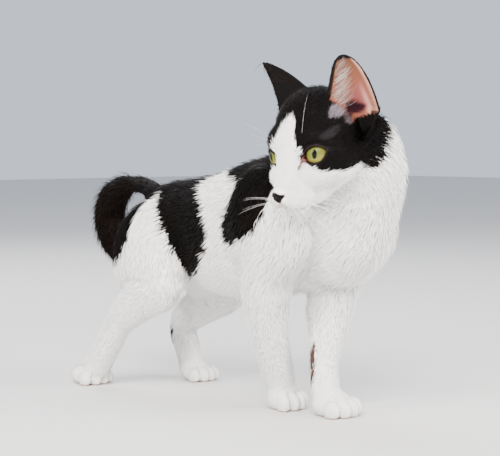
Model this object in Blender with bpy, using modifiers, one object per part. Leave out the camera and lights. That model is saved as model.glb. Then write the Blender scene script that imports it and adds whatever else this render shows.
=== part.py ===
# Young black and white shorthair cat, standing, head turned to its right, tail curled.
# Metres, +Z up, the cat faces -Y and its left side is +X. It stands on the floor at z = 0.
# The whole body is one smooth form: tubes and balls that blend into each other. Each node
# is a length of that form, parted from its neighbours by a thin cut.

import math

import bmesh
import bpy
import numpy as np
from mathutils import Matrix, Vector

mm = 0.001
gap = 0.3 * mm
farValue = 25 * mm
headReach = 60
settleReach = 9 * mm
standShift = np.array([10.6, 10.3, 0.0]) * mm

# Mesh fineness: voxel of each form and the triangles it is brought down to.
bodyVoxel = 2.6 * mm
bodyTriangles = 5200
headVoxel = 1.2 * mm
headTriangles = 3000
pawVoxel = 1.2 * mm
pawTriangles = 760

# Tubes, in mm: centre x, y, z, then the half widths to the side, to the front or top,
# and to the back or underside.
trunkRows = [
    (0, 99, 139, 13, 15, 17),
    (0, 90, 136, 22, 26.5, 33),
    (0, 72, 134, 33, 39, 40),
    (0, 45, 133, 36, 44, 43),
    (0, 15, 133, 38, 47, 47),
    (0, -20, 134, 41, 53, 52),
    (0, -50, 139, 42, 56, 55),
    (0, -80, 145, 41, 55.5, 55),
    (2, -106, 149, 39, 50, 50),
    (4, -128, 148, 32, 40, 40),
]
neckRows = [
    (0, -94, 156, 36, 36, 36),
    (6, -114, 166, 42, 42, 42),
    (12, -132, 177, 41.5, 41.5, 42.5),
    (10, -140, 190, 38, 38, 38),
    (-6, -143, 199, 31, 31, 31),
    (-22, -144, 201, 22, 22, 22),
]
tailRows = [
    (0, 84, 160, 12, 12, 12),
    (0, 98, 168.5, 8, 8, 8),
    (0, 114, 171.5, 8.8, 8.8, 8.8),
    (0, 132, 168.5, 11, 11, 11),
    (0, 147, 159, 14, 14, 14),
    (0, 154, 144, 14.5, 14.5, 14.5),
    (0, 150, 128, 14.5, 14.5, 14.5),
    (0, 141, 116, 13, 13, 13),
    (1, 132, 107, 9.5, 9.5, 9.5),
    (2, 124, 100, 5, 5, 5),
]
legRows = {
    "fore_left": [
        (26, -108, 158, 17, 22, 26),
        (36, -132, 138, 17, 20, 24),
        (31, -114, 116, 16, 19, 22),
        (24, -105, 98, 18, 22, 22),
        (17, -106.5, 76, 16.5, 19, 19.5),
        (8, -112, 54, 13, 13.5, 14),
        (1, -117, 36, 10.3, 10.5, 11),
        (-2, -121, 20, 11, 11, 11),
    ],
    "fore_right": [
        (-27, -98, 158, 17, 22, 26),
        (-36, -118, 138, 17, 20, 24),
        (-35, -98, 116, 16, 20, 23),
        (-32.5, -89, 98, 17, 21, 23),
        (-29, -85.5, 78, 15.5, 18, 18.5),
        (-22.5, -83, 52, 13, 15, 15),
        (-16, -81.5, 34, 12, 13.5, 13),
        (-11, -81, 20, 11, 12, 12),
    ],
    "hind_left": [
        (24, 62, 136, 17, 24, 20),
        (34, 48, 110, 17, 27, 27),
        (37, 34, 85, 14, 20, 22),
        (37, 62, 70, 12.5, 18, 18),
        (36, 88, 56, 10.5, 16, 16),
        (36, 95, 44, 10, 15.5, 15),
        (36, 90, 29, 10, 13.5, 13),
        (36, 84, 14, 10.5, 12.5, 12),
    ],
    "hind_right": [
        (-24, 62, 136, 17, 24, 20),
        (-36, 50, 114, 18, 28, 28),
        (-42, 27, 93, 14, 21.5, 22.5),
        (-43.5, 48.5, 79.5, 13, 18, 19.5),
        (-43.5, 71, 66.5, 11.5, 15.5, 16.5),
        (-43.5, 84.5, 54.5, 10.5, 13, 13),
        (-45, 97.5, 35.5, 10.5, 12, 12),
        (-45, 113, 16, 11, 12, 12),
    ],
}
# Muscle masses, in mm: centre, half widths, and how widely each blends in.
muscleBalls = [
    ((10.5, -126.5, 142), (36, 40, 44), 14),
    ((13, -131, 159), (35.5, 37.5, 28), 14),
    ((-31, 62, 113), (19, 40, 41), 14),
    ((29, 62, 114), (19, 40, 40), 14),
    ((-34, -84, 152), (16, 30, 40), 14),
    ((33, -92, 152), (16, 30, 40), 14),
    ((20, -142, 208), (22, 22, 24), 12),
]
# Paws, in mm: middle of the sole, turn of the toes in degrees, width, length and height.
pawPlans = {
    "fore_left": ((-1, -130), 4, 33, 39, 20),
    "fore_right": ((-8, -83), 8, 29, 33, 20),
    "hind_left": ((36, 75), 0, 28, 33, 18),
    "hind_right": ((-45, 124.5), 4, 31, 36, 18),
}

# Head, in mm along its own axes from the middle between the eyes, as if it faced -Y too.
headPlace = np.array([-51.0, -144.3, 199.0])
headYaw = -84.0
headPitch = 22.0
headRoll = -3.5
skullBalls = [
    ((0, 27, 12), (30.5, 32, 30), 8),
    ((0, 5, 6), (18.5, 17, 18.5), 8),
    ((0, -12, -17), (13.5, 17, 13), 7),
    ((0, 2, -26), (17.5, 25, 11.5), 7),
    ((0, -18.5, -33), (8, 9, 5.8), 3),
    ((0, -33.6, -16.9), (7.6, 4.6, 4.8), 1.6),
    ((10, -25, -24), (10.2, 11.8, 8.2), 3.5),
    ((-8, -24, -22.8), (8.6, 10.2, 8), 3.5),
]
pairedSkullBalls = [
    ((18, 8, 2), (12.5, 13, 12.5), 6),
    ((15.6, 3.5, 11.5), (11.4, 12, 11), 6),
    ((16.5, -6.5, -13), (9.5, 11, 10.5), 6),
    ((18.5, 15, -13), (14.5, 20, 16), 8),
]
bridgeRows = [
    (0, -9.5, 5.5, 11.5, 8, 8),
    (0, -20, -7.5, 9, 6.6, 6.6),
    (0, -31, -15.6, 5.8, 5.4, 5.4),
]
eyeCentre = (17.3, 1.0, 0.5)
eyeRadius = 9.8
eyeSegments = 18
lidThickness = 1.5
eyeOut = 22.0
eyeUp = 14.0
openingHalfWidth = 8.8
openingUp = 5.4
openingDown = 6.0
openingSlant = 9.0
# Ears: side, root and tip, half width, how fast they narrow, the way the cup faces, in
# degrees out from the nose, and how far the middle leans back.
earPlans = {
    "ear_left": (1, (26, 36.3, 19), (38, 31.6, 62), 20.5, 0.5, 44, 2),
    "ear_right": (-1, (-26, 46, 19.5), (-41, 33.5, 63.5), 22, 0.88, 84, 3),
}
earWall = 2.0
earBottom = -0.5
mouthPoints = [
    (0, -35, -21.5), (0, -33.6, -26.4), (4, -33.6, -29), (9, -31, -30.6), (14, -25.5, -31), (18.5, -17, -29),
]
mouthRadius = 0.75
nostril = (3.8, -37.6, -17.4)

# Joints where a leg, the neck or the tail is parted: centre, direction away from the body
# and half width of the cut, in mm.
legCuts = {
    "fore_left": [("paw", (-1, -120, 24), (0, 0, -1), 34), ("forearm", (23, -106, 90), (-0.35, -0.21, -0.91), 23.5)],
    "fore_right": [("paw", (-12, -81, 24), (0, 0, -1), 34), ("forearm", (-31, -88, 90), (0.28, 0.1, -0.95), 25)],
    "hind_left": [
        ("paw", (36, 86, 20), (0, -0.25, -1), 34),
        ("foot", (36, 94, 42), (0, 0, -1), 24),
        ("shank", (37, 50, 78), (0, 0.5, -0.87), 43),
    ],
    "hind_right": [
        ("paw", (-45, 111, 20), (0, 0.3, -1), 34),
        ("foot", (-43.5, 84, 52.5), (0, 0.6, -0.8), 24),
        ("shank", (-43, 43.5, 88), (0, 0.5, -0.87), 43),
    ],
}
cutDepth = 110
tailCuts = [
    ("tail_tip", (0, 152, 133), (0, -0.25, -0.97), 22, 60),
    ("tail_bend", (0, 140, 166), (0, 0.8, -0.6), 20, 60),
    ("tail_arch", (0, 111, 171), (0, 1, 0.15), 15, 60),
]
neckCut = ((4, -126, 168), (0, -0.68, 0.73), 80, 130)
headCut = ((0, 38, -20), (0, 0.37, -0.93), 100, 180)
headSide = ((-49.7, 40, 0), (-1, 0, 0), 120, 80)
headRoom = ((26, 30, -23.2), (0, -0.37, 0.93), 76, 120)
thighBalls = {
    "hind_left": ((41, 52, 108), (27, 62, 66)),
    "hind_right": ((-43, 52, 112), (28, 62, 66)),
}
armBalls = {
    "fore_left": ((42, -112, 130), (26, 42, 52)),
    "fore_right": ((-44, -102, 130), (27, 42, 52)),
}

white = (0.86, 0.84, 0.81)
black = (0.025, 0.02, 0.02)
iris = (0.55, 0.6, 0.2)


def unit(vectors):
    vectors = np.asarray(vectors, float)
    return vectors / np.linalg.norm(vectors, axis=-1, keepdims=True)


def smoothRows(rows, steps=4):
    # a smooth curve through the rows, with a few steps between one row and the next
    rows = np.array(rows, float)
    padded = np.vstack([2 * rows[0] - rows[1], rows, 2 * rows[-1] - rows[-2]])
    result = []
    for before, start, end, after in zip(padded, padded[1:], padded[2:], padded[3:]):
        for t in np.arange(steps) / steps:
            curve = 2 * start + (end - before) * t
            curve += (2 * before - 5 * start + 4 * end - after) * t ** 2
            curve += (3 * start - before - 3 * end + after) * t ** 3
            result.append(curve / 2)
    result.append(rows[-1])
    return np.array(result)


def makeTube(rows, sideways=(1, 0, 0), blend=10.0):
    samples = smoothRows(rows) * mm
    centres = samples[:, :3]
    along = unit(np.gradient(centres, axis=0))
    side = np.array(sideways, float) - along * (along @ np.array(sideways, float))[:, None]
    side = unit(side)
    return {
        "centres": centres,
        "side": side,
        "front": np.cross(along, side),
        "radii": samples[:, 3:],
        "blend": blend * mm,
    }


def makeBall(centre, radii, blend=10.0, turn=None):
    return {
        "centre": np.array(centre, float) * mm,
        "radii": np.array(radii, float) * mm,
        "turn": np.eye(3) if turn is None else turn,
        "blend": blend * mm,
    }


def scaledDistance(offsets, radii):
    # distance to an ellipsoid, close to true near its surface
    near = np.linalg.norm(offsets / radii, axis=1)
    slope = np.linalg.norm(offsets / radii ** 2, axis=1)
    return near * (near - 1) / np.maximum(slope, 1e-6)


def ballDistance(points, ball):
    return scaledDistance((points - ball["centre"]) @ ball["turn"], ball["radii"])


def nearOnly(points, low, high, distance):
    # works the distance out only near the form, and gives a far value elsewhere
    result = np.full(len(points), farValue)
    near = np.all((points > low - farValue) & (points < high + farValue), axis=1)
    result[near] = distance(points[near])
    return result


def tubeDistance(points, tube):
    reach = tube["radii"].max()
    low = tube["centres"].min(axis=0) - reach
    high = tube["centres"].max(axis=0) + reach
    return nearOnly(points, low, high, lambda near: nearTubeDistance(near, tube))


def nearTubeDistance(points, tube):
    centres = tube["centres"]
    nearest = np.full(len(points), 9.0)
    place = np.zeros(len(points))
    for i in range(len(centres) - 1):
        run = centres[i + 1] - centres[i]
        t = np.clip((points - centres[i]) @ run / (run @ run), 0, 1)
        away = np.linalg.norm(points - centres[i] - t[:, None] * run, axis=1)
        closer = away < nearest
        nearest[closer] = away[closer]
        place[closer] = i + t[closer]
    low = np.minimum(place.astype(int), len(centres) - 2)
    t = (place - low)[:, None]

    def between(values):
        return values[low] * (1 - t) + values[low + 1] * t

    side = unit(between(tube["side"]))
    front = unit(between(tube["front"]))
    offset = points - between(centres)
    radii = between(tube["radii"])
    acrossFront = np.sum(offset * front, axis=1)
    acrossSide = np.sum(offset * side, axis=1)
    onward = np.sum(offset * np.cross(side, front), axis=1)
    depth = np.where(acrossFront > 0, radii[:, 1], radii[:, 2])
    cap = np.minimum(radii[:, 0], radii[:, 1])
    return scaledDistance(
        np.column_stack([acrossSide, acrossFront, onward]),
        np.column_stack([radii[:, 0], depth, cap]),
    )


def blended(first, second, width):
    nearness = np.maximum(width - np.abs(first - second), 0) / width
    return np.minimum(first, second) - nearness ** 2 * width / 4


def turnAbout(axis, degrees):
    return np.array(Matrix.Rotation(math.radians(degrees), 3, axis))


def headAxes():
    # columns: the head's left, back and up in the cat's frame
    return turnAbout("Z", headYaw) @ turnAbout("X", headPitch) @ turnAbout("Y", headRoll)


def pawShapes(plan):
    (x, y), turn, width, length, height = plan
    heading = turnAbout("Z", turn)

    def placed(side, forward, up):
        across = heading @ np.array([side, -forward, 0.0])
        return (x + across[0], y + across[1], up)

    pad = makeBall(placed(0, -0.06 * length, 0.42 * height),
                   (0.47 * width, 0.43 * length, 0.56 * height), 6, heading)
    toes = []
    for i in range(4):
        side = (i - 1.5) * 0.255 * width
        forward = length * (0.30 if i in (1, 2) else 0.20)
        fan = turnAbout("Z", turn + (i - 1.5) * 7)
        toes.append(makeBall(placed(side, forward, 0.31 * height),
                             (0.158 * width, 0.215 * length, 0.40 * height), 1.4, fan))
    return pad, toes


def buildForms():
    forms = {
        "trunk": makeTube(trunkRows),
        "neck": makeTube(neckRows, (0, 0, 1), 12),
        "tail": makeTube(tailRows, blend=6),
        "muscles": [makeBall(*row) for row in muscleBalls],
        "legs": {},
        "skull": [],
    }
    for name, rows in legRows.items():
        pad, toes = pawShapes(pawPlans[name])
        forms["legs"][name] = {"tube": makeTube(rows), "pad": pad, "toes": toes}
    forms["skull"] = [makeBall(*row) for row in skullBalls]
    for centre, radii, blend in pairedSkullBalls:
        for side in (1, -1):
            forms["skull"].append(makeBall((side * centre[0], centre[1], centre[2]), radii, blend))
    for side in (1, -1):
        lid = eyeRadius + lidThickness
        centre = (side * eyeCentre[0], eyeCentre[1], eyeCentre[2])
        forms["skull"].append(makeBall(centre, (lid, lid, lid), 3))
    forms["bridge"] = makeTube(bridgeRows, blend=5)
    return forms


def skullDistance(points, forms):
    # points along the head's own axes
    result = ballDistance(points, forms["skull"][0])
    for ball in forms["skull"][1:3]:
        result = blended(result, ballDistance(points, ball), ball["blend"])
    result = blended(result, tubeDistance(points, forms["bridge"]), forms["bridge"]["blend"])
    for ball in forms["skull"][3:]:
        result = blended(result, ballDistance(points, ball), ball["blend"])
    return result


def legDistance(points, leg):
    low = leg["tube"]["centres"].min(axis=0) - 30 * mm
    high = leg["tube"]["centres"].max(axis=0) + 30 * mm
    return nearOnly(points, low, high, lambda near: nearLegDistance(near, leg))


def nearLegDistance(points, leg):
    result = blended(tubeDistance(points, leg["tube"]), ballDistance(points, leg["pad"]), leg["pad"]["blend"])
    for toe in leg["toes"]:
        result = blended(result, ballDistance(points, toe), toe["blend"])
    return result


def catDistance(points, forms):
    # signed distance to the tips of the coat, in the cat's own frame
    result = tubeDistance(points, forms["trunk"])
    for ball in forms["muscles"]:
        result = blended(result, ballDistance(points, ball), ball["blend"])
    result = blended(result, tubeDistance(points, forms["neck"]), forms["neck"]["blend"])
    rise = np.clip((points[:, 2] - 55 * mm) / (40 * mm), 0, 1)
    for leg in forms["legs"].values():
        result = blended(result, legDistance(points, leg), (1 + 11 * rise) * mm)
    result = blended(result, tubeDistance(points, forms["tail"]), forms["tail"]["blend"])
    low = (headPlace - headReach) * mm
    high = (headPlace + headReach) * mm
    skull = nearOnly(points, low, high, lambda near: skullDistance(toHead(near), forms))
    return blended(result, skull, 8 * mm)


def toHead(points):
    return (points - headPlace * mm) @ headAxes()


def toSurface(points, forms, rounds=4):
    # moves points along the field's slope onto the surface
    step = 0.2 * mm
    points = points.copy()
    for _ in range(rounds):
        value = catDistance(points, forms)
        slope = np.empty_like(points)
        for axis in range(3):
            shifted = points.copy()
            shifted[:, axis] += step
            slope[:, axis] = (catDistance(shifted, forms) - value) / step
        steep = np.maximum(np.sum(slope ** 2, axis=1), 0.25)
        move = slope * (value / steep)[:, None]
        length = np.linalg.norm(move, axis=1, keepdims=True)
        points -= move * np.minimum(1, 3 * mm / np.maximum(length, 1e-9))
    return points


def collectionFor(name, hidden=False):
    made = bpy.data.collections.new(name)
    bpy.context.scene.collection.children.link(made)
    made.hide_render = hidden
    return made


def faceOut(bm):
    bmesh.ops.recalc_face_normals(bm, faces=bm.faces)
    if bm.calc_volume(signed=True) < 0:
        bmesh.ops.reverse_faces(bm, faces=bm.faces)


def objectFrom(name, bm, collection):
    mesh = bpy.data.meshes.new(name)
    bm.to_mesh(mesh)
    bm.free()
    made = bpy.data.objects.new(name, mesh)
    collection.objects.link(made)
    if collection is cutters:
        made.hide_render = True
        made.display_type = "WIRE"
    return made


def addBall(bm, ball, frame=None, fineness=3):
    centre = ball["centre"]
    turn = ball["turn"]
    if frame is not None:
        centre = headPlace * mm + frame @ centre
        turn = frame @ turn
    place = Matrix.Translation(centre) @ Matrix(turn.tolist()).to_4x4() @ Matrix.Diagonal((*ball["radii"], 1))
    bmesh.ops.create_icosphere(bm, subdivisions=fineness, radius=1, matrix=place)


def addTube(bm, tube, frame=None):
    for i, centre in enumerate(tube["centres"]):
        turn = np.column_stack([tube["side"][i], tube["front"][i], np.cross(tube["side"][i], tube["front"][i])])
        side, front, back = tube["radii"][i]
        depth = (front + back) / 2
        middle = centre + tube["front"][i] * (front - back) / 2
        ball = {"centre": middle, "radii": (side, depth, min(side, depth)), "turn": turn}
        addBall(bm, ball, frame)


def remeshed(name, bm, voxel):
    # one closed skin round all the overlapping shapes
    rough = objectFrom(name, bm, cutters)
    remesh = rough.modifiers.new("remesh", "REMESH")
    remesh.mode = "VOXEL"
    remesh.voxel_size = voxel
    applyModifiers(rough)
    return rough


def applyModifiers(target):
    graph = bpy.context.evaluated_depsgraph_get()
    mesh = bpy.data.meshes.new_from_object(target.evaluated_get(graph))
    target.modifiers.clear()
    target.data = mesh


def settle(target, forms, triangles):
    # lays the skin on the blended surface and thins it
    mesh = target.data
    points = np.empty(len(mesh.vertices) * 3)
    mesh.vertices.foreach_get("co", points)
    points = points.reshape(-1, 3)
    near = np.abs(catDistance(points, forms)) < settleReach
    points[near] = toSurface(points[near], forms)
    mesh.vertices.foreach_set("co", (points + standShift).ravel())
    relax = target.modifiers.new("relax", "SMOOTH")
    relax.factor = 0.5
    relax.iterations = 2
    applyModifiers(target)
    count = sum(len(face.vertices) - 2 for face in target.data.polygons)
    thin = target.modifiers.new("thin", "DECIMATE")
    thin.ratio = min(1, triangles / count)
    applyModifiers(target)
    return target


def isClosed(bm):
    return all(edge.is_manifold for edge in bm.edges)


def measured(mesh):
    # the volume, and whether the mesh is one closed skin without open or shared edges
    bm = bmesh.new()
    bm.from_mesh(mesh)
    volume = bm.calc_volume(signed=True)
    closed = isClosed(bm)
    bm.free()
    return volume, closed


def boolean(target, cutter, operation):
    # the second solver is for where the first fails
    whole = target.data
    before = measured(whole)[0]
    cutterVolume = measured(cutter.data)[0]
    lowest = before - cutterVolume * 1.01 if operation == "DIFFERENCE" else 0
    highest = before if operation == "DIFFERENCE" else min(before, cutterVolume * 1.01)
    for solver in ("EXACT", "MANIFOLD"):
        step = target.modifiers.new("cut", "BOOLEAN")
        step.operation = operation
        step.solver = solver
        step.object = cutter
        applyModifiers(target)
        volume, closed = measured(target.data)
        if closed and max(lowest, 0) < volume < highest:
            return
        target.data = whole


def cleaned(mesh):
    # without slivers, unless their removal would open the mesh
    bm = bmesh.new()
    bm.from_mesh(mesh)
    bmesh.ops.remove_doubles(bm, verts=bm.verts, dist=0.02 * mm)
    bmesh.ops.dissolve_degenerate(bm, dist=0.01 * mm, edges=bm.edges)
    bmesh.ops.triangulate(bm, faces=bm.faces)
    if not isClosed(bm):
        bm.free()
        bm = bmesh.new()
        bm.from_mesh(mesh)
        bmesh.ops.triangulate(bm, faces=bm.faces)
    return bm


def keepLargest(target):
    bm = cleaned(target.data)
    seen = set()
    pieces = []
    for start in bm.verts:
        if start in seen:
            continue
        stack = [start]
        piece = {start}
        while stack:
            for edge in stack.pop().link_edges:
                for vert in edge.verts:
                    if vert not in piece:
                        piece.add(vert)
                        stack.append(vert)
        seen |= piece
        pieces.append(piece)
    kept = max(pieces, key=len)
    bmesh.ops.delete(bm, geom=[vert for vert in bm.verts if vert not in kept], context="VERTS")
    bm.to_mesh(target.data)
    bm.free()


def copyOf(source, name, collection):
    made = bpy.data.objects.new(name, source.data.copy())
    collection.objects.link(made)
    return made


def removeObject(target):
    bpy.data.objects.remove(target, do_unlink=True)


def blockBeyond(centre, direction, halfWidth, depth, shift=0.0, side=(1, 0, 0)):
    # a box whose near face stands on the cut
    direction = Vector(direction).normalized()
    across = direction.cross(Vector(side)).normalized()
    turn = Matrix((across.cross(direction), across, direction)).transposed().to_4x4()
    middle = Vector(centre) * mm + direction * (depth * mm / 2 + shift) + Vector(standShift)
    size = Matrix.Diagonal((2 * halfWidth * mm, 2 * halfWidth * mm, depth * mm, 1))
    bm = bmesh.new()
    bmesh.ops.create_cube(bm, size=1, matrix=Matrix.Translation(middle) @ turn @ size)
    return objectFrom("block", bm, cutters)


def ballCutter(centre, radii, extra=0.0):
    ball = makeBall(centre, radii)
    ball["radii"] = ball["radii"] + extra
    ball["centre"] = ball["centre"] + standShift
    bm = bmesh.new()
    addBall(bm, ball, fineness=2)
    return objectFrom("ball", bm, cutters)


def partOff(source, name, inner, outer):
    # the piece inside the inner cutter, and the rest outside the outer one
    piece = copyOf(source, name, parts)
    boolean(piece, inner, "INTERSECT")
    boolean(source, outer, "DIFFERENCE")
    removeObject(inner)
    removeObject(outer)
    keepLargest(piece)
    keepLargest(source)
    return piece


def partByBlock(source, name, cut, depth=cutDepth):
    centre, direction, halfWidth = cut
    inner = blockBeyond(centre, direction, halfWidth, depth)
    outer = blockBeyond(centre, direction, halfWidth + 0.01, depth, -gap)
    return partOff(source, name, inner, outer)


def dropByBlock(source, cut, depth=cutDepth, shift=-gap, side=(1, 0, 0)):
    centre, direction, halfWidth = cut
    block = blockBeyond(centre, direction, halfWidth, depth, shift, side)
    boolean(source, block, "DIFFERENCE")
    removeObject(block)
    keepLargest(source)


def makeBody(forms):
    bm = bmesh.new()
    addTube(bm, forms["trunk"])
    addTube(bm, forms["neck"])
    addTube(bm, forms["tail"])
    for ball in forms["muscles"]:
        addBall(bm, ball)
    for leg in forms["legs"].values():
        addTube(bm, leg["tube"])
        addBall(bm, leg["pad"])
    for ball in forms["skull"]:
        addBall(bm, ball, headAxes())
    return settle(remeshed("body", bm, bodyVoxel), forms, bodyTriangles)


def makePaw(name, forms):
    leg = forms["legs"][name]
    bm = bmesh.new()
    addTube(bm, leg["tube"])
    addBall(bm, leg["pad"])
    for toe in leg["toes"]:
        addBall(bm, toe)
    low = [vert for vert in bm.verts if vert.co.z > 60 * mm]
    bmesh.ops.delete(bm, geom=low, context="VERTS")
    bmesh.ops.holes_fill(bm, edges=bm.edges)
    paw = settle(remeshed(name, bm, pawVoxel), forms, pawTriangles)
    _, centre, direction, halfWidth = legCuts[name][0]
    block = blockBeyond(centre, direction, halfWidth, cutDepth)
    boolean(paw, block, "INTERSECT")
    removeObject(block)
    floorBlock = blockBeyond((0, 0, 0), (0, 0, -1), 400, 60)
    boolean(paw, floorBlock, "DIFFERENCE")
    removeObject(floorBlock)
    keepLargest(paw)
    moveTo(paw, parts, name + "_paw")
    return paw


def moveTo(target, collection, name):
    for holder in list(target.users_collection):
        holder.objects.unlink(target)
    collection.objects.link(target)
    target.hide_render = False
    target.display_type = "TEXTURED"
    target.name = name
    target.data.name = name


def onHead(point):
    return headPlace * mm + headAxes() @ (np.array(point, float) * mm) + standShift


def eyeFrame(side):
    # columns: towards the outer corner, up, and out along the eye's axis
    out = math.radians(eyeOut)
    up = math.radians(eyeUp)
    axis = np.array([side * math.sin(out) * math.cos(up), -math.cos(out) * math.cos(up), math.sin(up)])
    outward = -side * unit(np.cross(axis, [0, 0, 1]))
    upward = unit(np.array([0, 0, 1]) - axis * axis[2])
    return headAxes() @ np.column_stack([outward, upward, axis])


def eyeBall(name, side, radius, collection, segments):
    centre = onHead((side * eyeCentre[0], eyeCentre[1], eyeCentre[2]))
    turn = Matrix(eyeFrame(side).tolist()).to_4x4()
    bm = bmesh.new()
    bmesh.ops.create_uvsphere(bm, u_segments=segments, v_segments=segments * 2 // 3, radius=radius * mm,
                              matrix=Matrix.Translation(centre) @ turn)
    faceOut(bm)
    return objectFrom(name, bm, collection)


def lidOpening(side):
    # an almond prism through the lids, raised at its outer corner
    centre = onHead((side * eyeCentre[0], eyeCentre[1], eyeCentre[2]))
    frame = eyeFrame(side)
    bm = bmesh.new()
    bmesh.ops.create_cone(bm, cap_ends=True, segments=28, radius1=1, radius2=1, depth=2)
    slant = math.radians(openingSlant)
    for vert in bm.verts:
        across, up = vert.co.x, vert.co.y
        reach = openingUp if up > 0 else openingDown
        width = across * openingHalfWidth
        rise = up * reach * abs(up) ** 0.2
        raised = width * math.cos(slant) - rise * math.sin(slant)
        lifted = width * math.sin(slant) + rise * math.cos(slant)
        out = 2.0 if vert.co.z < 0 else 18.0
        vert.co = Vector(centre + frame @ (np.array([raised, lifted, out]) * mm))
    faceOut(bm)
    return objectFrom("opening", bm, cutters)


def lineTube(name, points, radius):
    curve = bpy.data.curves.new(name, "CURVE")
    curve.dimensions = "3D"
    curve.bevel_depth = radius
    curve.bevel_resolution = 1
    curve.use_fill_caps = True
    spline = curve.splines.new("POLY")
    spline.points.add(len(points) - 1)
    for target, point in zip(spline.points, points):
        target.co = (*point, 1)
    holder = bpy.data.objects.new(name, curve)
    cutters.objects.link(holder)
    graph = bpy.context.evaluated_depsgraph_get()
    bm = bmesh.new()
    bm.from_mesh(holder.evaluated_get(graph).to_mesh())
    bmesh.ops.remove_doubles(bm, verts=bm.verts, dist=0.01 * mm)
    faceOut(bm)
    removeObject(holder)
    return objectFrom(name, bm, cutters)


def mouthCutters(forms):
    result = []
    for side in (1, -1):
        local = smoothRows([(side * x, y, z) for x, y, z in mouthPoints], 3)
        world = headPlace * mm + (local * mm) @ headAxes().T
        world = toSurface(world, forms) + standShift
        result.append(lineTube("mouth", world, mouthRadius * mm))
    return result


def nostrilCutter(side):
    ball = makeBall((side * nostril[0], nostril[1], nostril[2]), (1.5, 2.6, 1.0),
                    turn=turnAbout("Y", side * -30))
    ball["centre"] = ball["centre"] + headAxes().T @ standShift
    bm = bmesh.new()
    addBall(bm, ball, headAxes(), fineness=2)
    return objectFrom("nostril", bm, cutters)


def dropOnHead(source, cut):
    # a cut given along the head's axes
    centre, direction, halfWidth, depth = cut
    placed = (onHead(centre) - standShift) / mm
    side = headAxes()[:, 0 if direction[0] == 0 else 1]
    dropByBlock(source, (placed, headAxes() @ np.array(direction, float), halfWidth), depth, side=side)


def makeHead(forms):
    bm = bmesh.new()
    for ball in forms["skull"]:
        addBall(bm, ball, headAxes())
    addTube(bm, forms["bridge"], headAxes())
    addTube(bm, forms["neck"])
    head = settle(remeshed("head", bm, headVoxel), forms, headTriangles)
    for cut in (headCut, headSide):
        dropOnHead(head, cut)
    return head


def carveFace(head, forms):
    cutting = mouthCutters(forms)
    for side in (1, -1):
        cutting.append(nostrilCutter(side))
        cutting.append(lidOpening(side))
        cutting.append(eyeBall("socket", side, eyeRadius + gap / mm, cutters, eyeSegments))
    for cutter in cutting:
        boolean(head, cutter, "DIFFERENCE")
        removeObject(cutter)
        keepLargest(head)


def earSurface(plan, upSteps=14, acrossSteps=12):
    # an open cupped sheet: its back is convex and its two edges turn to the front
    side, root, tip, width, narrowing, turned, lean = plan
    root = np.array(root, float)
    tip = np.array(tip, float)
    rise = unit(tip - root)
    facing = math.radians(turned)
    opening = np.array([side * math.sin(facing), -math.cos(facing), 0.12])
    opening = unit(opening - rise * (opening @ rise))
    across = np.cross(rise, opening) * side
    length = np.linalg.norm(tip - root)
    bm = bmesh.new()
    rows = []
    for i in range(upSteps + 1):
        u = earBottom + (0.985 - earBottom) * i / upSteps
        halfWidth = width * (1 - u) ** narrowing if u > 0 else width * (1 + 1.1 * u)
        wrap = math.radians(95 - 50 * u)
        radius = halfWidth / math.sin(min(wrap, math.pi / 2))
        middle = root + rise * length * u + across * lean * math.sin(math.pi * max(u, 0))
        row = []
        for j in range(acrossSteps + 1):
            turn = (2 * j / acrossSteps - 1) * wrap
            point = middle + across * radius * math.sin(turn)
            point = point + opening * radius * 0.72 * (1 - math.cos(turn) - 0.45)
            row.append(bm.verts.new(onHead(point)))
        rows.append(row)
    for lower, upper in zip(rows, rows[1:]):
        for j in range(acrossSteps):
            bm.faces.new((lower[j], lower[j + 1], upper[j + 1], upper[j]))
    bmesh.ops.recalc_face_normals(bm, faces=bm.faces)
    return bm


def makeEar(name, plan, headSkin):
    ear = objectFrom(name, earSurface(plan), parts)
    wall = ear.modifiers.new("wall", "SOLIDIFY")
    wall.thickness = earWall * mm
    wall.offset = 0
    applyModifiers(ear)
    bm = bmesh.new()
    bm.from_mesh(ear.data)
    faceOut(bm)
    bm.to_mesh(ear.data)
    bm.free()
    boolean(ear, headSkin, "DIFFERENCE")
    keepLargest(ear)
    return ear


def grownCopy(source, name, growth):
    made = copyOf(source, name, cutters)
    for vert, normal in zip(made.data.vertices, [Vector(v.normal) for v in source.data.vertices]):
        vert.co = vert.co + normal * growth
    return made


def makeMaterial(name, colour, roughness):
    material = bpy.data.materials.new(name)
    material.use_nodes = True
    shader = material.node_tree.nodes["Principled BSDF"]
    shader.inputs["Base Color"].default_value = (*colour, 1)
    shader.inputs["Roughness"].default_value = roughness
    return material


def paint():
    coat = makeMaterial("coat_white", white, 0.8)
    dark = makeMaterial("coat_black", black, 0.7)
    eye = makeMaterial("eye", iris, 0.1)
    for target in parts.objects:
        name = target.name
        target.data.materials.clear()
        if name.startswith("eye"):
            target.data.materials.append(eye)
        elif name.startswith(("ear", "tail")):
            target.data.materials.append(dark)
        else:
            target.data.materials.append(coat)


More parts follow.
